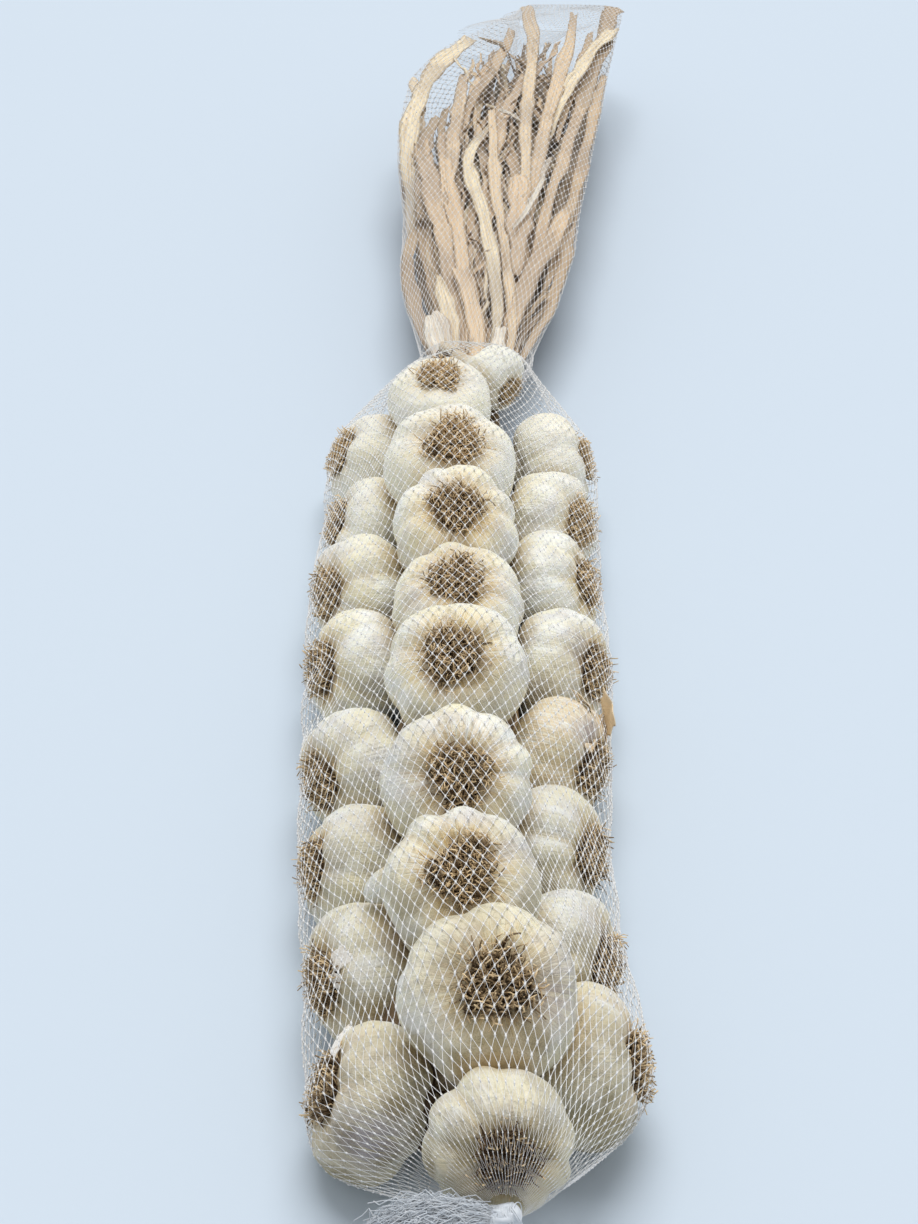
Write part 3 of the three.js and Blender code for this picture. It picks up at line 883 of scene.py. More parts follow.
def tones(thing, per_line, length, sides, fade=1.0):
    """One tone for each rod, changing from its start to its end by the fade."""
    note(thing, "tone", np.repeat(np.outer(per_line, np.broadcast_to(fade, length)).ravel(), sides))


def stem_piece(name, lines, radii, per_line, sides, *replaced):
    """Rods of dry stem, each of its own tone."""
    stems = rods(name, lines, radii, sides)
    tones(stems, per_line, np.shape(lines)[1], sides)
    finish_piece(stems, stem_with_painted_shade, "stem", *replaced)


def bowed(t, start, bend, end):
    """A line from start to end that is drawn toward the bend."""
    return (1 - t) ** 2 * start + 2 * t * (1 - t) * bend + t ** 2 * end


# %% [markdown]
# ## The roots
#
# The roots of a dug head dry to a wiry, curly brush about as wide as the root plate.
# Each root wanders: its direction changes a little at every step, and it is turned back
# down when it would stick out of the brush. Five brushes are modelled, in head radii,
# and each head gets one, turned as the head is.

# %% One brush of roots
ROOT_COUNT = 420
ROOT_POINTS = 5
ROOT_BED = 0.49                  # where the roots leave the head, in radii
ROOT_SPREAD = 0.33
BRUSHES = 5


def model_roots(name, seed):
    chance = np.random.default_rng(seed)
    turn = chance.uniform(0, 2 * np.pi, ROOT_COUNT)
    out = ROOT_SPREAD * np.sqrt(chance.uniform(0, 1, ROOT_COUNT))
    out *= 1 + 0.14 * np.sin(turn * 3 + seed) + 0.08 * np.sin(turn * 5 + seed * 2)
    rim = np.stack([np.cos(turn), np.sin(turn), np.zeros(ROOT_COUNT)], axis=1)
    spot = rim * out[:, None] + (0, 0, ROOT_BED)
    heading = rim * (out / ROOT_SPREAD)[:, None] * 0.75 + (0, 0, 1)
    heading += chance.normal(0, 0.42, heading.shape)
    step = chance.uniform(0.050, 0.092, ROOT_COUNT)[:, None]
    lines = [spot]
    for _ in range(ROOT_POINTS - 1):
        heading += chance.normal(0, 0.55, heading.shape)
        heading -= (spot - (0, 0, ROOT_BED + 0.17)) * (0.5, 0.5, 2.2)
        heading = unit(heading)
        spot = spot + heading * step
        spot[:, 2] = np.clip(spot[:, 2], ROOT_BED - 0.02, ROOTS_TOP + 0.02)
        lines.append(spot)
    radii = np.linspace(0.0140, 0.0080, ROOT_POINTS) * chance.uniform(0.7, 1.3, (ROOT_COUNT, 1))
    brush = rods(name, np.stack(lines, axis=1), radii, sides=3)
    tones(brush, chance.uniform(0.2, 1.0, ROOT_COUNT), ROOT_POINTS, 3, np.linspace(0.1, 1.0, ROOT_POINTS))
    return brush


brushes = [model_roots(f"brush_{i + 1}", 40 + i) for i in range(BRUSHES)]
print("modelled", len(brushes), "brushes of", ROOT_COUNT, "roots")

# %% A brush on every head
# Roots of the front heads: darker as their own colour and also as painted shade, on the side away from the
# light.
DARKER_AND_SHADED_ROOTS = {"head_end": 0.36, "head_left_1": 0.8}
PAINTED_LIGHT_ON_ROOTS = 0.9              # painted light: how much paler the roots are by the leaves


def tone_of(thing):
    tone = np.empty(len(thing.data.vertices))
    thing.data.attributes["tone"].data.foreach_get("value", tone)
    return tone


for i, name in enumerate(HEAD_NODES):
    roots = copy_of(brushes[i % len(brushes)], name.replace("head", "roots"))
    roots.data.transform(heads[name]["pose"])
    shade = DARKER_AND_SHADED_ROOTS.get(name, 1 + PAINTED_LIGHT_ON_ROOTS * max(0, -dust_and_shade_at(heads[name]["centre"].y)))
    note(roots, "tone", tone_of(roots) ** (1 / shade))
    finish_piece(roots, root_fibre, "stem")
for brush in brushes:
    bpy.data.objects.remove(brush)
print("roots on", len(HEAD_NODES), "heads,", ROOT_COUNT, "to a head")

# %% [markdown]
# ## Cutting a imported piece
#
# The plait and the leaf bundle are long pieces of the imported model. To follow one, it is
# cut across at many places along the braid: the middle and the half width and height of
# each cut are kept, and read off between cuts.


# %% Cuts along the braid
def cuts_along(name, count):
    """Rows of: place along, middle across, middle height, half width, half height."""
    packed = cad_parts[name]
    spots = points_of(packed)
    pairs = np.array([edge.vertices[:] for edge in packed.data.edges])
    one, two = spots[pairs[:, 0]], spots[pairs[:, 1]]
    low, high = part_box(name)
    rows = []
    for y in np.linspace(low[1] + 0.002, high[1] - 0.002, count):
        crossing = (one[:, 1] - y) * (two[:, 1] - y) < 0
        share = (y - one[crossing, 1]) / (two[crossing, 1] - one[crossing, 1])
        hit = one[crossing] + share[:, None] * (two[crossing] - one[crossing])
        least, most = hit.min(axis=0), hit.max(axis=0)
        rows.append([y, (least[0] + most[0]) / 2, (least[2] + most[2]) / 2,
                     (most[0] - least[0]) / 2, (most[2] - least[2]) / 2])
    return np.array(rows)


def read_cuts(rows, y):
    return [np.interp(y, rows[:, 0], rows[:, k]) for k in range(1, 5)]


# %% [markdown]
# ## The plait
#
# The plaited stems run along the back, where three strands cross over and under each
# other. A strand is several dried stems side by side with a slight twist, so each packed
# strand is followed by six thin rods round its middle.

# %% The three strands
STEMS_PER_STRAND = 6
PLAIT_CUTS = 90
STEM_TWIST = 26                  # radians a metre
for k in range(1, 4):
    rows = cuts_along(f"plait_strand_{k}", PLAIT_CUTS)
    y = rows[:, 0]
    thick = np.minimum(rows[:, 3], rows[:, 4])
    lines = []
    for stem in range(STEMS_PER_STRAND):
        turn = 2 * np.pi * stem / STEMS_PER_STRAND + (y - y[0]) * STEM_TWIST
        lines.append(np.stack([rows[:, 1] + 0.55 * thick * np.cos(turn), y,
                               rows[:, 2] + 0.55 * thick * np.sin(turn)], axis=1))
    stem_piece(f"plait_stems_{k}", lines, 0.48 * thick[None, :],
               np.linspace(0.25, 0.9, STEMS_PER_STRAND), 8, f"plait_strand_{k}")
print("three strands of", STEMS_PER_STRAND, "stems")

# %% [markdown]
# ## The stems between the heads
#
# From the tip of its neck, the stem of each head goes on beside the plait toward the leaves for a hand's
# breadth, where it is lost among the others. Older stems lie in the two channels beside the middle row. These
# stems are brown and painted darker still, as the shade deep in the gaps between heads, where they show.

# %% Stems from every neck
STEMS_PER_NECK = 3
STEM_POINTS = 14
chance = np.random.default_rng(8)
lines, radii = [], []
plait_rows = cuts_along("plait_strand_2", PLAIT_CUTS)
leaves_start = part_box("leaf_bundle")[0][1]
for name, head in heads.items():
    for _ in range(STEMS_PER_NECK):
        tip = np.array(head["tip"])
        back = np.array(head["axis"])
        run = chance.uniform(0.07, 0.13)
        t = np.linspace(0, 1, STEM_POINTS)[:, None]
        plait_x = np.interp(tip[1], plait_rows[:, 0], plait_rows[:, 1])
        goal = np.array([chance.uniform(-0.012, 0.012) + plait_x, tip[1] + run, chance.uniform(0.014, 0.026)])
        goal[1] = min(goal[1], leaves_start + 0.02)
        bend = tip - back * 0.006 + chance.normal(0, 0.003, 3)
        lines.append(bowed(t, tip + back * 0.008, bend, goal))
        radii.append(np.linspace(0.0032, 0.0018, STEM_POINTS) * chance.uniform(0.7, 1.2))
stem_piece("neck_stems", lines, np.array(radii), chance.uniform(0, 0.8, len(lines)), 6)
print(len(lines), "stems between the heads")

# %% Old stems in the two channels beside the middle row
CORE_STEMS = 34
CORE_POINTS = 40
chance = np.random.default_rng(14)
braid_low, braid_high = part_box("net_sleeve_heads")
core_y = np.linspace(braid_low[1] + 0.045, braid_high[1] - 0.01, CORE_POINTS)
middle_x = np.interp(core_y, plait_rows[:, 0], plait_rows[:, 1])
closing = np.interp(core_y, [core_y[0], core_y[-4], core_y[-1]], [1, 0.9, 0.5])
lines = []
for i in range(CORE_STEMS):
    side = 1 if i % 2 else -1
    out = side * chance.uniform(0.009, 0.024) * closing
    waves = chance.uniform(0, 6.3, 2)
    lines.append(np.stack([
        middle_x * 0.3 + eye_across * 0.7 + out + 0.003 * np.sin(core_y * 40 + waves[0]), core_y,
        chance.uniform(0.014, 0.036) + 0.003 * np.sin(core_y * 31 + waves[1])], axis=1))
thick = chance.uniform(0.0018, 0.0034, (len(lines), 1))
stem_piece("core_stems", lines, thick, chance.uniform(0.0, 0.45, len(lines)), 6)
print(len(lines), "old stems in the channels")

# %% [markdown]
# ## The leaves
#
# A garlic leaf dries to a long flat ribbon, folded along its middle near the stem and
# curling where it is free. The bundle holds about two hundred, and many narrow shreds.
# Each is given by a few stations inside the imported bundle: how far along it, how far
# across and how high, with -1 and 1 at the bundle's sides. Ribbon meshes are written from
# these lines, and a solidify modifier gives them the thickness of dry leaf.

# %% Ribbons
LEAF_POINTS = 34
ACROSS = np.array([-1.0, -0.5, 0.0, 0.5, 1.0])
LEAF_ABOVE = 0.0012              # no leaf goes lower than this
bundle_rows = cuts_along("leaf_bundle", 70)[:-8]
bundle_low, bundle_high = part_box("leaf_bundle")
bundle_length = bundle_high[1] - bundle_low[1]


def uneven(t, chance, depth, count=9):
    """A slow random unevenness along a leaf, from this many draws."""
    return np.interp(t, np.linspace(0, 1, count), chance.normal(0, depth, count))


def leaf_path(stations, waves, t, chance, soften, wild):
    """Where a leaf runs in the bundle, and where it is along and across it."""
    stations = np.array(stations)
    places = np.linspace(stations[0, 0], stations[-1, 0], LEAF_POINTS)
    across, up = (np.interp(places, stations[:, 0], stations[:, k]) for k in (1, 2))
    for _ in range(soften):
        across[1:-1] = (across[:-2] + across[1:-1] * 2 + across[2:]) / 4
        up[1:-1] = (up[:-2] + up[1:-1] * 2 + up[2:]) / 4
    free = np.clip(t * 2, 0, 1)
    across += wild * (0.03 * np.sin(t * 9 + waves[0]) + uneven(t, chance, 0.026)) * free
    up += wild * (0.05 * np.sin(t * 8 + waves[2]) + uneven(t, chance, 0.04)) * free
    across *= np.interp(places, [0, 0.12, 0.27], [0.76, 0.88, 1])
    y = bundle_low[1] + places * bundle_length
    middle_x, middle_z, wide, high = read_cuts(bundle_rows, y)
    line = np.stack([middle_x + across * wide, y, middle_z + up * high], axis=1)
    line[:, 2] = np.maximum(line[:, 2], 0.003)
    return line, places, across, up


def ribbon(stations, half, roll, twist, fold, tip, tone, chance, soften=8, wild=1.0):
    """The corners of one leaf, with its place on the leaf's map and tone for every corner."""
    t = np.linspace(0, 1, LEAF_POINTS)
    waves = chance.uniform(0, 6.3, 4)
    line, places, across, up = leaf_path(stations, waves, t, chance, soften, wild)
    outward = unit(np.stack([across * 0.6 * wild, np.zeros_like(t), up + 0.25], axis=1), 1e-9)
    ahead = unit(np.gradient(line, axis=0))
    level = unit(np.cross(ahead, outward))
    face = np.cross(level, ahead)
    turn = roll + twist * t + wild * (0.25 * np.sin(t * 7 + waves[3]) + uneven(t, chance, 0.22))
    side = level * np.cos(turn)[:, None] + face * np.sin(turn)[:, None]
    front = face * np.cos(turn)[:, None] - level * np.sin(turn)[:, None]

    # Narrow at the stem and the tip, creased at the stem, ragged at the edges.
    width = half * np.interp(t, [0, 0.10, 0.30, 0.75, 1 - 0.10, 1],
                             [0.45, 0.55, 0.9, 1.0, 0.5 + 0.5 * tip, tip])
    draws = min(LEAF_POINTS, 4 + int((places[-1] - places[0]) * 40))
    width *= 1 + 0.10 * np.sin(t * 17 + waves[1]) + uneven(t, chance, 0.06, draws)
    crease = fold * np.interp(t, [0, 0.3, 1], [1.6, 0.9, 0.7])
    torn = ACROSS * (1 + np.stack([uneven(t, chance, 0.12, draws) for _ in ACROSS], axis=1))
    folded = np.abs(ACROSS)[None, :] * crease[:, None] * width[:, None]
    crinkles = np.stack([uneven(t, chance, 0.0008, draws) for _ in ACROSS], axis=1)
    corners = line[:, None] + side[:, None] * (torn * width[:, None])[..., None]
    corners = corners + front[:, None] * folded[..., None]
    corners = corners + front[:, None] * crinkles[..., None]
    corners[..., 2] = np.maximum(corners[..., 2], LEAF_ABOVE)
    flow = np.broadcast_to((places * 4)[:, None], torn.shape)
    leaf_map = np.stack([flow, np.broadcast_to(ACROSS * 0.5, torn.shape)], axis=-1)
    return corners.reshape(-1, 3), leaf_map.reshape(-1, 2), np.full(torn.size, tone)


# %% The leaves that lie on top, one by one
# Stations are along, across, up; then half width in metres, tip width and tone.
TOP_LEAVES = [
    ([(-0.02, 0.42, 0.9), (0.10, 0.45, 1.0), (0.24, 0.15, 1.08), (0.37, -0.06, 1.12),
      (0.45, -0.22, 1.14), (0.51, -0.31, 1.14), (0.56, -0.25, 1.1), (0.62, -0.10, 1.04)], 0.0038, 0.5, 1.0),
    ([(0.0, 0.80, 0.8), (0.11, 0.80, 0.9), (0.21, 0.42, 1.02), (0.34, 0.18, 1.08), (0.44, 0.0, 1.1),
      (0.54, -0.03, 1.1), (0.67, -0.08, 1.0)], 0.0032, 0.6, 0.84),
    ([(0.35, 0.42, 0.8), (0.49, 0.37, 1.05), (0.74, 0.30, 1.14), (0.95, 0.25, 1.08),
      (1.02, 0.22, 1.0)], 0.0040, 0.9, 0.86),
    ([(0.30, 0.45, 0.7), (0.51, 0.52, 1.02), (0.66, 0.57, 1.08), (0.80, 0.62, 1.06),
      (1.0, 0.78, 0.95)], 0.0044, 0.5, 0.80),
    ([(0.50, 0.45, 0.7), (0.66, 0.62, 0.98), (0.74, 0.75, 1.06), (0.85, 0.96, 1.04),
      (0.94, 1.18, 0.95)], 0.0047, 0.9, 0.97),
    ([(0.60, 0.85, 0.7), (0.85, 1.0, 0.85), (0.93, 1.08, 0.9), (1.03, 1.24, 0.9)], 0.0052, 1.0, 0.42),
    ([(0.55, 0.75, 0.6), (0.84, 0.95, 0.8), (0.97, 1.08, 0.85), (1.02, 1.16, 0.85)], 0.0030, 0.9, 0.22),
    ([(0.25, 0.85, 0.5), (0.44, 0.96, 0.7), (0.61, 1.04, 0.7), (0.72, 1.07, 0.7),
      (0.82, 1.10, 0.65)], 0.0036, 0.6, 0.60),
    ([(0.25, 0.62, 0.7), (0.44, 0.69, 1.0), (0.54, 0.80, 1.02), (0.68, 0.93, 0.95)], 0.0036, 0.9, 0.76),
    ([(0.40, -0.98, 0.3), (0.58, -1.0, 0.6), (0.66, -0.98, 0.85), (0.73, -0.88, 0.98),
      (0.80, -0.77, 1.02), (0.91, -0.40, 0.95)], 0.0056, 0.9, 0.95),
    ([(0.60, -0.85, 0.6), (0.72, -0.92, 0.85), (0.79, -1.03, 0.8)], 0.0034, 0.8, 0.88),
    ([(0.45, -1.02, 0.2), (0.58, -1.05, 0.3), (0.65, -0.98, 0.4)], 0.0032, 0.7, 0.50),
    ([(0.40, -0.85, 0.7), (0.52, -0.87, 0.85), (0.66, -0.72, 0.9)], 0.0046, 0.6, 0.30),
    ([(0.0, -0.45, 0.8), (0.11, -0.52, 1.02), (0.18, -0.58, 1.12), (0.24, -0.66, 1.08)], 0.0048, 0.25, 0.94),
    ([(0.0, 0.05, 0.8), (0.11, 0.04, 1.02), (0.19, -0.18, 1.12), (0.25, -0.32, 1.1)], 0.0048, 0.9, 0.78),
    ([(0.05, -0.30, 0.8), (0.24, -0.44, 0.96), (0.37, -0.60, 1.02), (0.46, -0.76, 0.98),
      (0.60, -0.85, 0.8)], 0.0058, 0.8, 0.58),
    ([(0.05, -0.10, 0.85), (0.27, -0.27, 1.0), (0.38, -0.44, 1.04), (0.46, -0.57, 1.02),
      (0.62, -0.60, 0.9)], 0.0046, 0.6, 0.66),
    ([(0.0, 0.60, 0.5), (0.18, 0.60, 0.9), (0.27, 0.70, 0.98), (0.34, 0.86, 0.92),
      (0.42, 0.92, 0.8)], 0.0048, 0.7, 0.70),
    ([(0.10, 0.95, 0.3), (0.21, 1.02, 0.4), (0.30, 0.99, 0.5), (0.44, 0.96, 0.5),
      (0.60, 1.0, 0.5)], 0.0040, 0.7, 0.54),
    ([(0.25, 0.45, 0.9), (0.37, 0.38, 1.1), (0.47, 0.27, 1.12)], 0.0066, 0.8, 0.76),
    ([(0.50, -0.50, 0.8), (0.64, -0.39, 1.0), (0.80, -0.12, 1.04), (0.94, 0.07, 0.95)], 0.0038, 0.6, 0.52),
    ([(0.45, -0.55, 0.8), (0.61, -0.50, 0.96), (0.74, -0.26, 1.02), (0.83, -0.15, 0.96)], 0.0032, 0.6, 0.68),
    ([(0.50, -0.05, 0.9), (0.68, 0.11, 1.04), (0.78, 0.22, 1.0)], 0.0038, 0.7, 0.68),
    ([(0.40, -0.55, 0.9), (0.55, -0.51, 1.02), (0.67, -0.45, 1.06), (0.79, -0.42, 0.98)], 0.0040, 0.9, 0.82),
    ([(0.60, 0.70, 0.8), (0.80, 0.80, 0.9), (0.94, 0.93, 0.85)], 0.0030, 0.5, 0.54),
    ([(0.10, -0.90, 0.2), (0.19, -1.0, 0.4), (0.30, -1.0, 0.5), (0.40, -0.93, 0.5)], 0.0042, 0.6, 0.50),
    ([(0.04, -0.72, 0.8), (0.10, -0.80, 0.98), (0.17, -0.86, 0.95)], 0.0064, 0.6, 1.35),
    ([(0.0, 0.50, 1.0), (0.07, 0.52, 1.08), (0.13, 0.50, 1.14)], 0.0038, 0.7, 1.35),
    ([(0.33, 0.33, 1.22), (0.37, 0.47, 1.25), (0.44, 0.57, 1.22), (0.52, 0.64, 1.14)], 0.0017, 0.6, 1.35),
    ([(0.62, 0.27, 1.16), (0.635, 0.14, 1.22), (0.65, 0.02, 1.18)], 0.0012, 0.6, 1.35),
]

# %% The leaves on top, shaped
chance = np.random.default_rng(21)
on_top, packed = [], []
for stations, half, tip, tone in TOP_LEAVES:
    roll, twist = chance.uniform(-0.15, 0.15), chance.uniform(-0.2, 0.2)
    on_top.append(ribbon(stations, half, roll, twist, 0.12, tip, tone, chance, 3, 0.35))
print(len(on_top), "leaves on top")

# %% The leaves packed under them, layer by layer from the floor up
LEAF_COUNT = 185
LOWEST, LAYERED = -0.92, 1.78    # the lowest leaf's height, and how far up the others go on

for i in range(LEAF_COUNT):
    up = LOWEST + LAYERED * i / LEAF_COUNT
    room = 0.93 * math.sqrt(max(0.3, 1 - up * up))
    start = chance.uniform(-1, 1) * room
    end = np.clip(start * 0.35 + chance.normal(0, 0.6), -1, 1) * room
    shift = chance.normal(0, 0.17, 2)
    last = 0.99 - 0.38 * chance.uniform(0, 1) ** 1.2 - 0.32 * max(0.0, -end)
    stations = [
        (-0.03, start * 0.6, up * 0.7),
        (0.10, start * 0.8, up * 0.85),
        (0.40, start * 0.6 + end * 0.4 + shift[0], up + 0.05),
        (0.70, start * 0.25 + end * 0.75 + shift[1], up),
        (last, end, up - chance.uniform(0, 0.3)),
    ]
    stations = [station for station in stations[:-1] if station[0] < last - 0.05] + stations[-1:]
    packed.append(ribbon(
        stations, chance.uniform(0.0016, 0.0046), chance.normal(0, 0.45), chance.normal(0, 0.7),
        chance.uniform(0.05, 0.8), chance.choice([0.12, 0.25, 0.5, 0.8]),
        float(np.clip(chance.normal(0.34 + 0.34 * up, 0.28), 0, 1)), chance))
print(len(packed), "leaves packed under them")

# %% Narrow shreds over both
SHRED_COUNT = 120
for _ in range(SHRED_COUNT):
    first = chance.uniform(0.02, 0.78)
    last = first + chance.uniform(0.04, 0.16)
    start = chance.uniform(-0.85 + 0.7 * first, 0.85)
    up = math.sqrt(1 - start * start) * chance.uniform(0.7, 1.05)
    end = np.clip(start + chance.normal(0, 0.3), -0.95, 0.95)
    on_top.append(ribbon(
        [(first, start, up), (last, end, up + chance.normal(0, 0.08))], chance.uniform(0.0005, 0.0019),
        chance.normal(0, 0.5), chance.normal(0, 0.7), chance.uniform(0.1, 0.9), 0.3,
        float(np.clip(chance.normal(0.66, 0.22), 0.25, 1)), chance, 3, 0.6))
print(SHRED_COUNT, "shreds")


# %% Leaves as two pieces
LEAF_THICK = 0.00040


def leaf_piece(name, parts):
    corners, places, leaf_tones = (np.concatenate(part) for part in zip(*parts))
    patch = quads(LEAF_POINTS, len(ACROSS))[:, [0, 3, 2, 1]]
    leaf_starts = np.arange(len(parts))[:, None, None] * LEAF_POINTS * len(ACROSS)
    faces = (leaf_starts + patch).reshape(-1, 4)
    piece = mesh_object(name, corners, faces)
    note(piece, "tone", leaf_tones)
    leaf_map = piece.data.uv_layers.new(name="UVMap")
    leaf_map.data.foreach_set("uv", places[faces.ravel()].ravel())
    modify(piece, "SOLIDIFY", thickness=LEAF_THICK, offset=0)
    finish_piece(piece, dry_leaf, "leaf", "leaf_bundle")
    print(len(parts), "leaves of", len(piece.data.polygons), "faces")
    return piece


leaves = [leaf_piece("leaves_on_top", on_top), leaf_piece("leaves_packed", packed)]

# %% [markdown]
# ## The net
#
# The sleeve is knitted from white polymer and stretched: it touches the heads at their
# high points and spans straight between them, along the braid and round it. That is the
# shape of a stretched skin, so it is found as one. For many directions round the braid,
# the farthest reach of heads and leaves is measured along it. A straight line is drawn
# over the hollows between neighbouring high points, and each cross-section is the
# outline that all those reaches leave.

# %% What pushes the net out
DIRECTIONS = 72                  # in which the skin's reach is measured
STATION = 0.001                  # from one cross-section to the next
AXIS_HEIGHT = 0.025              # of the line that the directions go out from
MOUTH = 0.036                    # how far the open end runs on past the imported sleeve
MOUTH_SHAPE = (0.58, 1, 0.42)    # and how much it closes across and down
GATHER = 0.0028                  # radius of the net where the knot holds it

knot_low, knot_high = (Vector(corner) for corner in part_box("net_knot"))
knot_middle = (knot_low + knot_high) / 2
net_start = knot_middle.y + 0.002
sleeve_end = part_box("net_sleeve_leaves")[1][1]


def net_points():
    """All that pushes the net out, and the two rings it ends in."""
    spots = [points_of(thing)[::2] for thing in garlic.values()]
    rim = np.linspace(0, 2 * np.pi, 24, endpoint=False)
    for head in heads.values():
        ring = [head["pose"] @ Vector((0.30 * math.cos(a), 0.30 * math.sin(a), 0.74)) for a in rim]
        spots.append(np.array(ring))
    spots += [points_of(piece)[::2] for piece in leaves]
    gathered = np.stack([np.cos(rim), np.zeros_like(rim), np.sin(rim)], axis=1)
    spots.append(np.array([knot_middle.x, net_start, knot_middle.z]) + GATHER * gathered)
    end = points_of(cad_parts["net_sleeve_leaves"])
    end = end[end[:, 1] > sleeve_end - 0.005]
    middle = (end.min(axis=0) + end.max(axis=0)) / 2
    flat = (end - middle) * MOUTH_SHAPE
    spots.append(flat + (middle[0], middle[1] + MOUTH, 0.001 - flat[:, 2].min()))
    return np.concatenate(spots)


cloud = net_points()
stations = np.arange(net_start, sleeve_end + MOUTH, STATION)
angles = np.linspace(0, 2 * np.pi, DIRECTIONS, endpoint=False)
nearest = np.round((cloud[:, 1] - net_start) / STATION).astype(int)
station_of = np.clip(nearest, 0, len(stations) - 1)
reach = np.full((len(stations), DIRECTIONS), -1.0)
for k, angle in enumerate(angles):
    out = cloud[:, 0] * math.cos(angle) + (cloud[:, 2] - AXIS_HEIGHT) * math.sin(angle)
    np.maximum.at(reach[:, k], station_of, out)
filled = np.where(reach[:, 0] > -1)[0]
for k in range(DIRECTIONS):
    reach[:, k] = np.interp(np.arange(len(stations)), filled, reach[filled, k])
print("the net has", len(stations), "cross-sections")

# %% The skin stretched over it
SPAN = 30                        # how many stations a straight stretch may reach each way
WAIST_SPAN = 88                  # and how far at the waist, where the net leaves the heads
WAIST_FROM_LEAVES = 0.035        # how far up the leaves the waist is
WAIST_LENGTH = 42                # in stations
WAIST_SLACK = 0.12               # how much of the waist's longer stretch the net takes up
EVENING_OUT = 24                 # passes that round the skin off along the braid
NET_CLEAR = 0.0006               # what the net stands off all it covers


def stretched(reach, longest, step=1):
    """The reach once straight lines span every hollow up to this many stations each way."""
    skin = reach.copy()
    for back in range(step, longest + 1, step):
        for ahead in range(step, longest + 1, step):
            line = (reach[:-(back + ahead)] * ahead + reach[back + ahead:] * back) / (back + ahead)
            middle = skin[back:len(skin) - ahead]
            np.maximum(middle, line, out=middle)
    return skin


taut = stretched(reach, SPAN)
waist_at = (leaves_start + WAIST_FROM_LEAVES - net_start) / STATION
near_waist = np.exp(-((np.arange(len(stations)) - waist_at) / WAIST_LENGTH) ** 2)[:, None]
sideways = np.cos(angles) ** 4
upward = np.clip(np.sin(angles), 0, 1) ** 2
taut += WAIST_SLACK * near_waist * sideways * (stretched(taut, WAIST_SPAN, 4) - taut)
taut += near_waist * upward * (stretched(reach, 9) - taut)
for _ in range(EVENING_OUT):
    taut[1:-1] = (taut[:-2] + 2 * taut[1:-1] + taut[2:]) / 4
taut += NET_CLEAR
print("the skin is up to", round(1000 * taut.max()), "mm from its axis")

# %% Cross-sections with evenly spaced columns
COLUMNS = 78                     # cells round the net
FINE = COLUMNS * 4               # points in a cross-section
EDGE_ON = 0.02                   # a reach that a bearing meets flatter than this says nothing
bearings = np.linspace(0, 2 * np.pi, 361)


def section(row):
    """The outline that all the reaches leave, from the middle of the underside round."""
    quarter = DIRECTIONS // 4
    across = (row[0] - row[2 * quarter]) / 2
    down = (row[quarter] - row[3 * quarter]) / 2
    inner = row - across * np.cos(angles) - down * np.sin(angles)
    facing = np.cos(angles[None, :] - (bearings[:, None] - np.pi / 2))
    out = np.where(facing > EDGE_ON, inner[None, :] / np.maximum(facing, EDGE_ON), 1.0).min(axis=1)
    x = across + out * np.cos(bearings - np.pi / 2)
    z = down + out * np.sin(bearings - np.pi / 2)
    return np.stack([x, z + AXIS_HEIGHT], axis=1)


def smoothed(values, width=25):
    """Each column's mean over this many rows to each side, with the ends held."""
    padded = np.pad(values, ((width, width), (0, 0)), mode="edge")
    total = np.cumsum(padded, axis=0)
    mean = (total[2 * width:] - total[:-2 * width]) / (2 * width)
    return mean[:len(values)]


sections = np.array([section(row) for row in taut])
steps_round = np.linalg.norm(np.diff(sections, axis=1), axis=2)
shares = np.concatenate([np.zeros((len(stations), 1)), np.cumsum(steps_round, axis=1)], axis=1)
shares = smoothed(smoothed(shares / shares[:, -1:]))
even = np.arange(FINE) / FINE
skin = np.empty((len(stations), FINE, 3))
for i, ring in enumerate(sections):
    toward = np.interp(even, shares[i], bearings)
    skin[i, :, 0] = np.interp(toward, bearings, ring[:, 0])
    skin[i, :, 1] = stations[i]
    skin[i, :, 2] = np.interp(toward, bearings, ring[:, 1])
strides = np.linalg.norm(np.diff(skin, axis=0), axis=2)
along_top = slice(int(FINE * 0.42), int(FINE * 0.58))
strides = strides[:, along_top].mean(axis=1)
walked = np.concatenate([[0], np.cumsum(strides)])
print("the net is", round(walked[-1], 3), "m along its skin and up to",
      round(steps_round.sum(axis=1).max(), 3), "m round")

# %% [markdown]
# ## The cells of the net
#
# The cells are diamonds about twice as long as wide. Two threads meet at every crossing,
# where the knitting makes a small bright knot, longer than wide, and part again. The
# rows are spaced along the skin, not along the braid, so that the cells keep their
# length where the net closes over the last head. Only near its knot are they pulled long.

# %% Crossings
ROW = 0.0041                     # from one row of crossings to the next, half a cell
PULLED, PULLED_FOR = 0.75, 0.032  # how much longer cells are at the knot, and how far that lasts
chance = np.random.default_rng(77)
longer = 1 + PULLED * np.exp(-walked / PULLED_FOR)
rows_so_far = np.concatenate([[0], np.cumsum(np.diff(walked) / ROW / longer[1:])])
row_count = int(rows_so_far[-1])
row_at = np.interp((np.arange(row_count) + 0.5) * rows_so_far[-1] / row_count, rows_so_far, walked)
place_on_skin = np.interp(row_at, walked, np.arange(len(walked)))
column = np.arange(COLUMNS)[None, :] + 0.5 * (np.arange(row_count) % 2)[:, None]
drift = 1.5 * np.sin(row_at * 5.0)[:, None] + 0.20 * np.sin(row_at[:, None] * 17 + column * 0.3)
loose = chance.normal(0, 0.03, column.shape)
row_shift = chance.normal(0, 0.12, column.shape)


